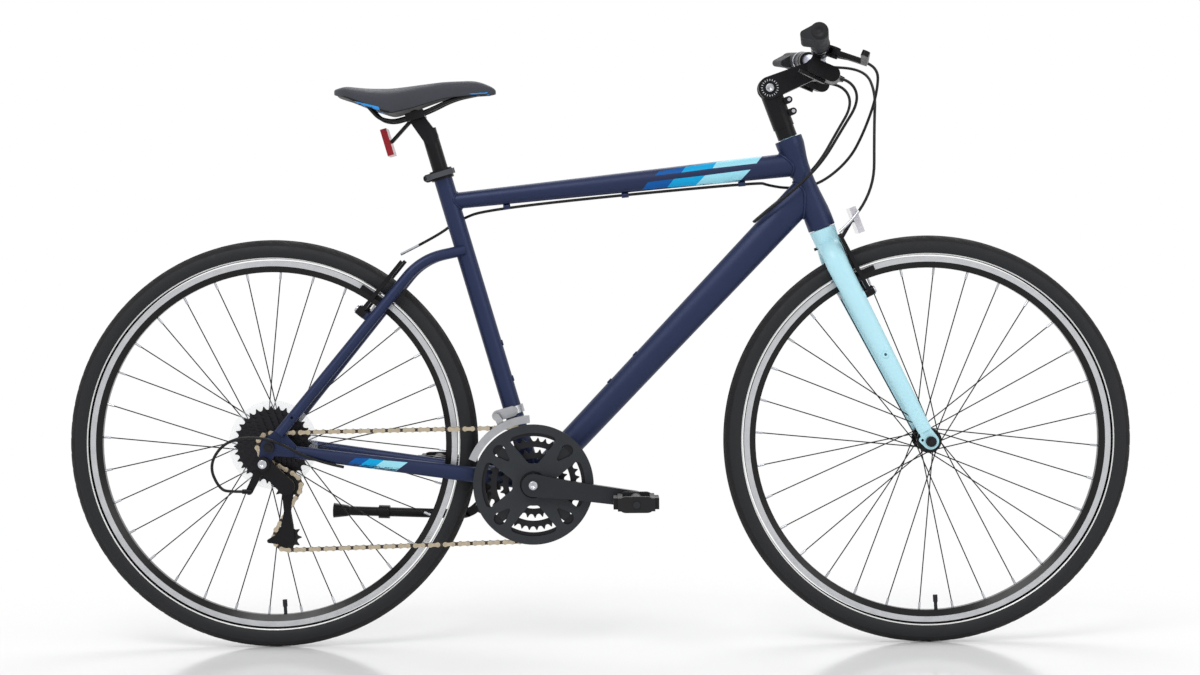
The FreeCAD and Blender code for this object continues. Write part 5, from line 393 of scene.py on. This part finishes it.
def finished(name, work, *stuff):
    mesh = bpy.data.meshes.new(name)
    bmesh.ops.recalc_face_normals(work, faces=work.faces)
    work.to_mesh(mesh)
    work.free()
    for face in mesh.polygons:
        face.use_smooth = True
    return new_object(name, mesh, *stuff)


# Tyres: a closed section turned about the axle, with slanted grooves cut into the tread.
TYRE_STEPS = 720
TYRE_CENTRE = 331.0
TYRE_HIGH = 19.8
TYRE_WIDE = 19.3
TYRE_WALL = 2.4
SECTION_END, SECTION_STEP = 126, 6
TREAD_FROM, TREAD_TO = 0.1, 1.0
LINE_FROM, LINE_TO = 0.28, 0.34
GROOVE_DEPTH = 1.1
GROOVE_PITCH, GROOVE_WIDE, GROOVE_SHIFT = 9, 2, 4
SIDEWALL_FROM = 1.05
BAND_STEPS = 360
BAND_RADII = (318.6, 319.6, 320.6)
BAND_STAND = 0.25


def around_axle(axle, radius, width, turn):
    """Point at a radius about an axle and a distance across the bike, in metres."""
    return ((axle.x + radius * math.cos(turn)) * MM, width * MM, (axle.z + radius * math.sin(turn)) * MM)


def groove(step, angle):
    """Depth of the tread's cut at a step around the tyre and an angle around its section."""
    lean = abs(angle)
    if LINE_FROM < lean < LINE_TO:
        return GROOVE_DEPTH
    if TREAD_FROM < lean < TREAD_TO:
        slant = step + int(round(math.degrees(lean) / SECTION_STEP)) + (0 if angle > 0 else GROOVE_SHIFT)
        return GROOVE_DEPTH if slant % GROOVE_PITCH < GROOVE_WIDE else 0.0
    return 0.0


def tyre(end, axle):
    angles = [math.radians(a) for a in range(-SECTION_END, SECTION_END + 1, SECTION_STEP)]
    section = []
    for angle in angles:
        section.append((TYRE_CENTRE + TYRE_HIGH * math.cos(angle), TYRE_WIDE * math.sin(angle), angle))
    for angle in reversed(angles):
        section.append((TYRE_CENTRE + (TYRE_HIGH - TYRE_WALL) * math.cos(angle),
                        (TYRE_WIDE - TYRE_WALL) * math.sin(angle), None))
    work = bmesh.new()
    rings = []
    for step in range(TYRE_STEPS):
        turn = 2 * math.pi * step / TYRE_STEPS
        ring = []
        for radius, width, angle in section:
            reach = radius if angle is None else radius - groove(step, angle) * math.cos(angle)
            ring.append(work.verts.new(around_axle(axle, reach, width, turn)))
        rings.append(ring)
    count = len(section)
    for step in range(TYRE_STEPS):
        this, after = rings[step], rings[(step + 1) % TYRE_STEPS]
        for place in range(count):
            follow = (place + 1) % count
            face = work.faces.new((this[place], after[place], after[follow], this[follow]))
            angle = section[place][2]
            if angle is None or abs(angle) > SIDEWALL_FROM:
                face.material_index = 1
    obj = finished(end + "_tyre_tread", work, "tyre", "sidewall")
    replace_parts(obj, end + "_tyre")
    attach(obj, end + "_wheel")
    band(end, axle)


def band(end, axle):
    """Reflective band on both sidewalls, a little proud of the rubber."""
    work = bmesh.new()
    turns = [2 * math.pi * s / BAND_STEPS for s in range(BAND_STEPS)]
    for side in SIDES:
        rows = []
        for radius in BAND_RADII:
            lean = math.acos(max(-1.0, min(1.0, (radius - TYRE_CENTRE) / TYRE_HIGH)))
            wide = side * (TYRE_WIDE * math.sin(lean) + BAND_STAND)
            rows.append([work.verts.new(around_axle(axle, radius, wide, turn)) for turn in turns])
        for low, high in zip(rows, rows[1:]):
            for s in range(BAND_STEPS):
                follow = (s + 1) % BAND_STEPS
                work.faces.new((low[s], low[follow], high[follow], high[s]))
    obj = finished(end + "_tyre_band", work, "reflect")
    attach(obj, end + "_wheel")


tyre("front", FRONT_AXLE)
tyre("rear", REAR_AXLE)


# Stripes: thin patches that follow the side of a tapering oval tube.
LIFT_LIMIT = 0.985


def oval_side(spot, start, end, start_size, end_size, side, stand=0.15):
    """Point on the tube's side under a point of the side view."""
    flat_start, flat_end = Vector((start.x, 0, start.z)), Vector((end.x, 0, end.z))
    along = flat_end - flat_start
    share = (spot - flat_start).dot(along) / along.length_squared
    normal = Vector((-along.z, 0, along.x)).normalized()
    centre = start.lerp(end, share)
    height = (start_size[0] + (end_size[0] - start_size[0]) * share) / 2
    width = (start_size[1] + (end_size[1] - start_size[1]) * share) / 2
    lift = (spot - Vector((centre.x, 0, centre.z))).dot(normal) / height
    lift = max(-LIFT_LIMIT, min(LIFT_LIMIT, lift))
    out = math.sqrt(1 - lift * lift)
    return centre + normal * (lift * (height + stand)) + Vector((0, side * out * (width + stand), 0))


def patch(work, corners, tube, side, place, across=14, down=8):
    first, second, third, fourth = [on_plane(c) for c in corners]
    rows = []
    for j in range(down + 1):
        low, high = first.lerp(fourth, j / down), second.lerp(third, j / down)
        spots = [low.lerp(high, i / across) for i in range(across + 1)]
        rows.append([work.verts.new(oval_side(spot, *tube, side) * MM) for spot in spots])
    for low, high in zip(rows, rows[1:]):
        for i in range(across):
            face = work.faces.new((low[i], low[i + 1], high[i + 1], high[i]))
            face.material_index = place


TOP_TUBE = (Vector((-256.32, 0, 765.78)), Vector((341.72, 0, 825.93)), (28.0, 28.0), (41.0, 32.0))
STAY_START_SIDE, STAY_END = 23.0, Vector((-518.0, 75.0, 342.0))
STAY_FRONT, STAY_REAR = (28.0, 15.0), (21.0, 15.0)
TOP_STRIPES = (
    (0, ((658.5, 171.5), (685.0, 167.0), (680.8, 172.7), (654.4, 175.8))),
    (1, ((685.0, 167.0), (716.0, 162.0), (711.8, 168.5), (680.8, 172.7))),
    (2, ((716.0, 162.0), (762.0, 155.5), (755.5, 163.5), (711.8, 168.5))),
    (0, ((647.6, 182.2), (673.4, 179.0), (667.0, 187.2), (641.8, 189.5))),
    (1, ((673.4, 179.0), (704.4, 175.4), (695.0, 185.2), (667.0, 187.2))),
    (2, ((704.4, 175.4), (749.7, 169.6), (737.4, 182.8), (695.0, 185.2))),
)
STAY_STRIPES = (
    (0, ((359.1, 454.2), (373.1, 454.9), (356.5, 465.6), (345.1, 464.3))),
    (1, ((373.1, 454.9), (386.5, 456.8), (371.8, 467.4), (356.5, 465.6))),
    (2, ((386.5, 456.8), (410.1, 459.1), (395.4, 469.7), (371.8, 467.4))),
)


def stripes():
    work = bmesh.new()
    for place, corners in TOP_STRIPES:
        for side in SIDES:
            patch(work, corners, TOP_TUBE, side, place)
    for side in SIDES:
        start = CRANK + Vector((0, side * STAY_START_SIDE, 0))
        end = Vector((STAY_END.x, side * STAY_END.y, STAY_END.z))
        stay = (start, end, STAY_FRONT, STAY_REAR)
        for place, corners in STAY_STRIPES:
            patch(work, corners, stay, side, place)
    obj = finished("frame_stripes", work, "decal_deep", "decal_cyan", "decal_pale")
    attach(obj, "frame")


stripes()


# Saddle: crowned pad lofted through stations, with a soft centre channel and blue side accents.
# Each station: share of the length, of the height at top and bottom, and of the half width.
SADDLE_SHARES = (
    (0.0, 0.72, 0.58, 0.42), (0.011, 0.746, 0.542, 0.6), (0.045, 0.79, 0.49, 0.78),
    (0.082, 0.814, 0.44, 0.9), (0.14, 0.79, 0.33, 0.97), (0.206, 0.763, 0.203, 1.0),
    (0.28, 0.757, 0.09, 0.97), (0.349, 0.763, 0.0, 0.9), (0.42, 0.8, 0.07, 0.76),
    (0.491, 0.847, 0.17, 0.6), (0.58, 0.905, 0.31, 0.47), (0.669, 0.958, 0.44, 0.375),
    (0.76, 0.98, 0.5, 0.325), (0.847, 0.983, 0.537, 0.29), (0.9, 0.94, 0.55, 0.262),
    (0.943, 0.864, 0.56, 0.225), (0.975, 0.79, 0.58, 0.17), (0.993, 0.712, 0.6, 0.11),
)
SADDLE_AROUND = 64
CHANNEL_WIDE, CHANNEL_DEEP, CHANNEL_FAINT = 9.0, 1.6, 0.4
CHANNEL_FROM, CHANNEL_TO = 0.15, 0.8
SIDE_ROUND, CROWN_ROUND = 0.75, 0.8
SKIRT_TUCK, UNDER_ARCH = 0.07, 0.3
UNDERSIDE = -0.35


def between(rows, parts):
    """More stations on smooth curves through the given ones."""
    out = []
    for place in range(len(rows) - 1):
        before, this = rows[max(place - 1, 0)], rows[place]
        after, later = rows[place + 1], rows[min(place + 2, len(rows) - 1)]
        for step in range(parts):
            t = step / parts
            out.append(tuple(0.5 * (2 * b + (c - a) * t + (2 * a - 5 * b + 4 * c - e) * t * t
                                    + (3 * b - a - 3 * c + e) * t ** 3)
                             for a, b, c, e in zip(before, this, after, later)))
    return out + [rows[-1]]


def skirt(share, side, middle, lower, upper):
    """Section below its middle: the side hangs to the lower edge, then the underside arches up."""
    if share < 0.5:
        t = share / 0.5
        return side * (1 - SKIRT_TUCK * t * t), middle - (middle - lower) * math.sin(t * math.pi / 2)
    t = (share - 0.5) / 0.5
    under = lower + (upper - lower) * UNDER_ARCH * math.sin(t * math.pi / 2)
    return side * (1 - SKIRT_TUCK) * (1 - t), under


def saddle():
    low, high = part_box("saddle")
    start = Vector((low.x * 1000, 0, low.z * 1000))
    length, tall, half = (high.x - low.x) * 1000, (high.z - low.z) * 1000, (high.y - low.y) * 500
    work = bmesh.new()
    rings = []
    around = SADDLE_AROUND
    for place, top, bottom, wide in between(SADDLE_SHARES, 3):
        x = start.x + length * place
        upper, lower = start.z + tall * top, start.z + tall * bottom
        side = half * wide
        middle = lower + (upper - lower) * 0.5
        ring = []
        for step in range(around):
            turn = 2 * math.pi * step / around
            c, s = math.cos(turn), math.sin(turn)
            if s >= 0:
                y = side * math.copysign(abs(c) ** SIDE_ROUND, c)
                z = middle + (upper - middle) * s ** CROWN_ROUND
                deep = CHANNEL_DEEP if CHANNEL_FROM < place < CHANNEL_TO else CHANNEL_FAINT
                z -= math.exp(-(y / CHANNEL_WIDE) ** 2) * deep if s > 0.5 else 0
            else:
                y, z = skirt(math.atan2(-s, abs(c)) / (math.pi / 2), side, middle, lower, upper)
                y = math.copysign(y, c)
            ring.append(work.verts.new((x * MM, y * MM, z * MM)))
        rings.append(ring)
    for ring, after in zip(rings, rings[1:]):
        for step in range(around):
            follow = (step + 1) % around
            work.faces.new((ring[step], after[step], after[follow], ring[follow]))
    for ring in (rings[0], rings[-1]):
        centre = work.verts.new(sum((v.co for v in ring), Vector()) / around)
        for step in range(around):
            work.faces.new((ring[step], ring[(step + 1) % around], centre))
    obj = finished("saddle_pad", work, "cover", "blue", "plastic")
    smooth = obj.modifiers.new("smooth", "SUBSURF")
    smooth.levels = 1
    smooth.render_levels = 1
    for face in obj.data.polygons:
        if face.normal.z < UNDERSIDE:
            face.material_index = 2
    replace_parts(obj, "saddle")
    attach(obj, "seat_unit")
    return obj


CAMERA_AWAY = 4288.6
CAMERA_SPOT = (-10.3, 680.2)
ACCENT_PLANE, ACCENT_RAY, ACCENT_NEAREST = 55.0, 150.0, 60.0
ACCENT_STAND = 0.0004
ACCENT_ACROSS, ACCENT_DOWN = 24, 6
ACCENTS = (
    ((351.5, 100.8), (380.5, 107.6), (383.0, 114.4), (365.0, 110.2)),
    ((471.0, 95.6), (497.0, 92.6), (494.0, 95.4), (475.0, 97.4)),
)


def accents(pad):
    """Blue patches on the lower sides of the saddle's tail and nose, laid on its skin."""
    bpy.context.view_layer.update()
    tree = BVHTree.FromObject(pad, bpy.context.evaluated_depsgraph_get())
    work = bmesh.new()
    across, down = ACCENT_ACROSS, ACCENT_DOWN
    near_share = (CAMERA_AWAY - ACCENT_PLANE) / CAMERA_AWAY
    for corners in ACCENTS:
        first, second, third, fourth = [on_plane(c) for c in corners]
        for side in SIDES:
            rows = []
            for j in range(down + 1):
                low, high = first.lerp(fourth, j / down), second.lerp(third, j / down)
                row = []
                for i in range(across + 1):
                    spot = low.lerp(high, i / across)
                    x = CAMERA_SPOT[0] + (spot.x - CAMERA_SPOT[0]) * near_share
                    z = CAMERA_SPOT[1] + (spot.z - CAMERA_SPOT[1]) * near_share
                    start = Vector((x, side * ACCENT_RAY, z)) * MM
                    hit, normal, _, _ = tree.ray_cast(start, Vector((0, -side, 0)))
                    if hit is None:
                        hit, normal, _, _ = tree.find_nearest(Vector((x, side * ACCENT_NEAREST, z)) * MM)
                    row.append(work.verts.new(hit + normal * ACCENT_STAND))
                rows.append(row)
            for low, high in zip(rows, rows[1:]):
                for i in range(across):
                    work.faces.new((low[i], low[i + 1], high[i + 1], high[i]))
    obj = finished("saddle_accents", work, "blue")
    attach(obj, "seat_unit")


accents(saddle())


# Housings: smooth splines on the CAD routes, which run between frame and fork where they cross the steering.
ROUTES = {
    "front_brake": (
        (392.6, 123.0, 1002.0), (394.0, 109.1, 1000.9), (465.1, 69.7, 992.4), (478.6, 22.5, 949.7),
        (470.7, -24.7, 892.3), (468.9, -37.7, 758.1), (408.6, -40.0, 708.3),
    ),
    "rear_brake": (
        (392.6, -123.0, 1002.0), (394.0, -109.1, 1000.9), (474.1, -61.8, 992.4), (476.4, -22.5, 942.9),
        (457.3, 13.5, 880.0), (433.0, 33.7, 831.9), (381.3, 40.5, 790.3), (329.6, 41.6, 784.7),
        (289.1, 6.7, 790.3), (276.5, 0.0, 795.5), (-189.8, 0.0, 753.7), (-246.5, 20.9, 732.2),
        (-280.1, 20.9, 706.5), (-344.4, 40.0, 675.6),
    ),
    "rear_gear": (
        (381.1, -91.8, 973.2), (382.5, -77.9, 972.2), (429.2, -65.2, 963.2), (442.1, -56.2, 929.4),
        (413.4, -45.0, 882.2), (381.3, -34.8, 827.4), (336.3, -32.0, 783.6), (289.1, -22.5, 746.5),
        (266.0, -14.0, 727.0),
    ),
    "front_gear": (
        (381.1, 91.8, 973.2), (382.5, 77.9, 972.2), (429.2, 65.2, 963.2), (442.1, 56.2, 929.4),
        (413.4, 45.0, 882.2), (381.3, 34.8, 827.4), (336.3, 32.0, 783.6), (289.1, 22.5, 746.5),
        (266.0, 14.0, 727.0),
    ),
    "rear_loop": (
        (-437.4, -64.6, 315.2), (-490.0, -86.5, 328.5), (-559.7, -92.7, 369.5), (-629.5, -92.7, 367.3),
        (-663.1, -91.0, 324.0), (-645.2, -83.7, 279.0), (-622.1, -79.9, 276.1), (-608.1, -79.9, 276.1),
    ),
}
HOUSING_RADIUS = 2.5
NOODLES = {"front_brake": lambda spot: spot.z < 0.742, "rear_brake": lambda spot: spot.x < -0.313}


def never(spot):
    return False


def spline_curve(name, spots, bevel):
    curve = bpy.data.curves.new(name, "CURVE")
    curve.dimensions = "3D"
    curve.resolution_u = 10
    curve.bevel_depth = bevel * MM
    curve.bevel_resolution = 3
    curve.use_fill_caps = True
    line = curve.splines.new("NURBS")
    line.points.add(len(spots) - 1)
    for point, spot in zip(line.points, spots):
        point.co = (*(Vector(spot) * MM), 1.0)
    line.order_u = 3
    line.use_endpoint_u = True
    return curve


def spline_path(spots):
    """Points along the route's own spline, in metres."""
    holder = bpy.data.objects.new("path", spline_curve("path", spots, 0.0))
    mesh = bpy.data.meshes.new_from_object(holder)
    path = [v.co.copy() for v in mesh.vertices]
    bpy.data.meshes.remove(mesh)
    bpy.data.objects.remove(holder)
    return path


def housing(name, body=None):
    spots = ROUTES[name]
    holder = bpy.data.objects.new("tube", spline_curve("tube", spots, HOUSING_RADIUS))
    mesh = bpy.data.meshes.new_from_object(holder)
    bpy.data.objects.remove(holder)
    for face in mesh.polygons:
        face.use_smooth = True
    obj = new_object(name + "_housing", mesh, "housing", "silver")
    for face in mesh.polygons:
        face.material_index = 1 if NOODLES.get(name, never)(face.center) else 0
    path = spline_path(spots)
    if body:
        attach(obj, body)
    else:
        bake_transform(obj)
    return obj


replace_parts(housing("front_brake", "fork"), "front_brake_cable")
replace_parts(housing("rear_brake"), "frame_cables")
housing("rear_gear")
housing("front_gear")
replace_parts(housing("rear_loop", "frame"), "gear_cable_loop")


# Bolt heads with a socket, plugs in the grips' ends, and the dial around the stem's pivot.
def turned_cap(work, spot, axis, outline, around=28):
    """Turns an outline of (radius, stand) pairs about an axis, from the outside in."""
    turn = Vector(axis).to_track_quat("Z", "Y")
    rings = []
    for radius, stand in outline:
        ring = []
        for k in range(around):
            angle = 2 * math.pi * k / around
            local = Vector((radius * math.cos(angle), radius * math.sin(angle), stand))
            ring.append(work.verts.new((Vector(spot) + turn @ local) * MM))
        rings.append(ring)
    for low, high in zip(rings, rings[1:]):
        for k in range(around):
            work.faces.new((low[k], low[(k + 1) % around], high[(k + 1) % around], high[k]))
    work.faces.new(rings[-1])


BOLT = ((1.0, 0.0), (1.0, 0.7), (0.86, 1.0), (0.45, 1.0), (0.4, 0.3))
PLUG = ((1.0, -0.2), (1.0, 0.6), (0.9, 1.0), (0.3, 0.8), (0.22, -0.6))


def caps(name, body, stuff, places, outline=BOLT):
    """Bolt heads or plugs of one body: each place is a spot, the way it faces, its radius and its stand."""
    work = bmesh.new()
    for spot, axis, radius, stand in places:
        turned_cap(work, spot, axis, [(radius * r, stand * h) for r, h in outline])
    obj = finished(name, work, stuff)
    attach(obj, body)


DIAL_TICKS = 20
DIAL_SIDE = 20.15
TICK = ((12.0, -0.7), (12.0, 0.7), (15.0, 0.7), (15.0, -0.7))


def dial():
    """Pale ticks around the stem's pivot on both sides."""
    work = bmesh.new()
    for side in SIDES:
        for step in range(DIAL_TICKS):
            turn = 2 * math.pi * step / DIAL_TICKS
            out = Vector((math.cos(turn), 0, math.sin(turn)))
            along = Vector((-out.z, 0, out.x))
            corners = []
            for reach, shift in TICK:
                spot = Vector((STEM_PIVOT[0], side * DIAL_SIDE, STEM_PIVOT[1])) + out * reach + along * shift
                corners.append(work.verts.new(spot * MM))
            work.faces.new(corners)
    obj = finished("stem_dial", work, "silver")
    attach(obj, "fork")


dial()
ACROSS = Vector((0, 1, 0))
FRONT_STUD, FRONT_FACING = Vector((436.29, 40.0, 594.46)), Vector((0.8885, 0, 0.4588))
REAR_STUD, REAR_FACING = Vector((-389.11, 40.0, 563.57)), Vector((-0.774, 0, 0.6332))
FRONT_ARM_FACE, REAR_ARM_FACE = 35.0, 31.4
GRIP_END, GRIP_FACING = Vector((351.6, 309.5, 1026.15)), Vector((-0.099, 0.992, 0.076))


def sided(spot, side):
    return Vector((spot.x, spot.y * side, spot.z))


caps("stem_bolts", "fork", "silver",
     [((STEM_PIVOT[0], side * 23.0, STEM_PIVOT[1]), ACROSS * side, 7.2, 1.4) for side in SIDES])
caps("crank_bolts", "crankset", "silver",
     [((CRANK.x, side * 85.0, CRANK.z), ACROSS * side, 7.5, 1.3) for side in SIDES])
caps("hanger_bolt", "frame", "silver", [((HANGER[0], -88.0, HANGER[1]), -ACROSS, 7.6, 1.4)])
caps("front_brake_bolts", "fork", "silver",
     [(sided(FRONT_STUD, side) + FRONT_FACING * FRONT_ARM_FACE, FRONT_FACING, 6.0, 3.0) for side in SIDES])
caps("rear_brake_bolts", "frame", "silver",
     [(sided(REAR_STUD, side) + REAR_FACING * REAR_ARM_FACE, REAR_FACING, 6.0, 3.0) for side in SIDES])
caps("grip_plugs", "fork", "plastic",
     [(sided(GRIP_END, side), sided(GRIP_FACING, side), 12.5, 1.2) for side in SIDES], PLUG)


# Weld beads: each follows the line where a tube's skin meets its neighbour.
BEAD_RAY_FROM = 0.55
BEAD_FEWEST = 20


def bead_path(start, end, start_size, end_size, upright, other, count=56):
    tree = BVHTree.FromObject(nodes[other], bpy.context.evaluated_depsgraph_get())
    along = (end - start).normalized()
    side = along.cross(upright).normalized()
    up = side.cross(along).normalized()
    spots = []
    for step in range(count):
        turn = 2 * math.pi * step / count
        skin = []
        for share in (BEAD_RAY_FROM, 1.0):
            high = (start_size[0] + (end_size[0] - start_size[0]) * share) / 2
            wide = (start_size[1] + (end_size[1] - start_size[1]) * share) / 2
            centre = start.lerp(end, share)
            skin.append(centre + up * (high * math.cos(turn)) + side * (wide * math.sin(turn)))
        way = (skin[1] - skin[0]).normalized()
        hit, _, _, _ = tree.ray_cast(skin[0] * MM, way)
        if hit is not None:
            spots.append(hit)
    return spots


def bead(work, spots, radius, around=8):
    count = len(spots)
    rings = []
    for step, spot in enumerate(spots):
        way = (spots[(step + 1) % count] - spots[step - 1]).normalized()
        side = way.orthogonal().normalized()
        if rings:
            side = (last - way * last.dot(way)).normalized()
        last = side
        up = way.cross(side)
        size = radius * MM
        turns = [2 * math.pi * k / around for k in range(around)]
        rings.append([work.verts.new(spot + side * (size * math.cos(turn)) + up * (size * math.sin(turn)))
                      for turn in turns])
    for step in range(count):
        this, after = rings[step], rings[(step + 1) % count]
        shift = min(range(around), key=lambda k: (this[0].co - after[k].co).length)
        for k in range(around):
            work.faces.new((this[k], this[(k + 1) % around], after[(k + 1 + shift) % around],
                            after[(k + shift) % around]))


UP = Vector((0, 0, 1))
DOWN_FRONT = Vector((358.815, 0, 780.225))
TUBE_ENDS = (
    (TOP_TUBE[0], TOP_TUBE[1], TOP_TUBE[2], TOP_TUBE[3], UP, "head_tube", 2.6),
    (TOP_TUBE[1], TOP_TUBE[0], TOP_TUBE[3], TOP_TUBE[2], UP, "seat_tube", 2.2),
    (CRANK, DOWN_FRONT, (45.0, 42.0), (55.0, 35.0), UP, "head_tube", 2.8),
    (DOWN_FRONT, CRANK, (55.0, 35.0), (45.0, 42.0), UP, "bottom_bracket_shell", 2.4),
    (SEAT_TOP, CRANK, (31.8, 31.8), (31.8, 31.8), Vector((1, 0, 0)), "bottom_bracket_shell", 2.2),
)


def weld_beads():
    work = bmesh.new()
    for start, end, first, second, upright, other, radius in TUBE_ENDS:
        spots = bead_path(start, end, first, second, upright, other)
        if len(spots) > BEAD_FEWEST:
            bead(work, spots, radius)
    obj = finished("weld_beads", work, "navy")
    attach(obj, "frame")


weld_beads()


# Stage: a level white floor that keeps the shadow near the bike, and soft light at a plain level.
FLOOR_REACH = 14.0
FADE_FROM, FADE_TO = 0.75, 1.7
FADE_SCALE = (1.0, 1.6, 1.0)
WORLD_LEVEL = 0.6
LAMPS = (
    ("key", (-1.6, -3.6, 4.4), (0, 0, 0.5), 2.6, 110),
    ("fill", (3.2, -3.2, 2.2), (0.2, 0, 0.6), 2.2, 30),
    ("back", (0.5, 2.4, 3.6), (0, 0, 0.6), 2.5, 50),
)


def floor_mesh():
    """Level floor that fades to white well before its edges, so no back wall is needed."""
    corners = [(x * FLOOR_REACH, y * FLOOR_REACH, 0.0) for x, y in ((-1, -1), (1, -1), (1, 1), (-1, 1))]
    mesh = bpy.data.meshes.new("floor")
    mesh.from_pydata(corners, [], [(0, 1, 2, 3)])
    return mesh


def seen_rays(tree):
    """Socket that is 1 for camera, glossy and transmission rays."""
    light = tree.nodes.new("ShaderNodeLightPath")
    total = light.outputs["Is Camera Ray"]
    for kind in ("Is Glossy Ray", "Is Transmission Ray"):
        added = tree.nodes.new("ShaderNodeMath")
        added.operation = "ADD"
        added.use_clamp = True
        tree.links.new(total, added.inputs[0])
        tree.links.new(light.outputs[kind], added.inputs[1])
        total = added.outputs["Value"]
    return total


def floor_material():
    """White to the rays that see it, away from the bike, and a plain floor that takes its shadow near it."""
    made = bpy.data.materials.new("floor_white")
    made.use_nodes = True
    tree = made.node_tree
    shader = tree.nodes["Principled BSDF"]
    shader.inputs["Base Color"].default_value = (0.97, 0.97, 0.975, 1)
    shader.inputs["Roughness"].default_value = 0.12
    shader.inputs["Specular IOR Level"].default_value = 0.12
    glow = tree.nodes.new("ShaderNodeEmission")
    place = tree.nodes.new("ShaderNodeNewGeometry")
    reach = tree.nodes.new("ShaderNodeVectorMath")
    reach.operation = "LENGTH"
    scaled = tree.nodes.new("ShaderNodeVectorMath")
    scaled.operation = "MULTIPLY"
    scaled.inputs[1].default_value = FADE_SCALE
    ramp = tree.nodes.new("ShaderNodeMapRange")
    ramp.interpolation_type = "SMOOTHSTEP"
    ramp.inputs["From Min"].default_value = FADE_FROM
    ramp.inputs["From Max"].default_value = FADE_TO
    share = tree.nodes.new("ShaderNodeMath")
    share.operation = "MULTIPLY"
    mix = tree.nodes.new("ShaderNodeMixShader")
    link = tree.links.new
    link(place.outputs["Position"], scaled.inputs[0])
    link(scaled.outputs["Vector"], reach.inputs[0])
    link(reach.outputs["Value"], ramp.inputs["Value"])
    link(seen_rays(tree), share.inputs[0])
    link(ramp.outputs["Result"], share.inputs[1])
    link(share.outputs["Value"], mix.inputs["Fac"])
    link(shader.outputs["BSDF"], mix.inputs[1])
    link(glow.outputs["Emission"], mix.inputs[2])
    link(mix.outputs["Shader"], tree.nodes["Material Output"].inputs["Surface"])
    return made


def world_light(level):
    """White to camera, glossy and transmission rays, and an even level of light to the rest."""
    world = bpy.data.worlds.new("studio")
    world.use_nodes = True
    tree = world.node_tree
    white = tree.nodes["Background"]
    white.inputs["Color"].default_value = (1, 1, 1, 1)
    plain = tree.nodes.new("ShaderNodeBackground")
    plain.inputs["Color"].default_value = (1, 1, 1, 1)
    plain.inputs["Strength"].default_value = level
    mix = tree.nodes.new("ShaderNodeMixShader")
    link = tree.links.new
    link(seen_rays(tree), mix.inputs["Fac"])
    link(plain.outputs["Background"], mix.inputs[1])
    link(white.outputs["Background"], mix.inputs[2])
    link(mix.outputs["Shader"], tree.nodes["World Output"].inputs["Surface"])
    scene.world = world


def stage():
    mesh = floor_mesh()
    mesh.materials.append(floor_material())
    floor = bpy.data.objects.new("floor", mesh)
    scene.collection.objects.link(floor)
    world_light(WORLD_LEVEL)
    for name, spot, aim, size, power in LAMPS:
        data = bpy.data.lights.new(name, "AREA")
        data.energy = power
        data.size = size
        lamp = bpy.data.objects.new(name, data)
        lamp.location = spot
        lamp.rotation_mode = "QUATERNION"
        lamp.rotation_quaternion = (Vector(aim) - Vector(spot)).to_track_quat("-Z", "Y")
        scene.collection.objects.link(lamp)


stage()
scene.view_settings.view_transform = "Standard"
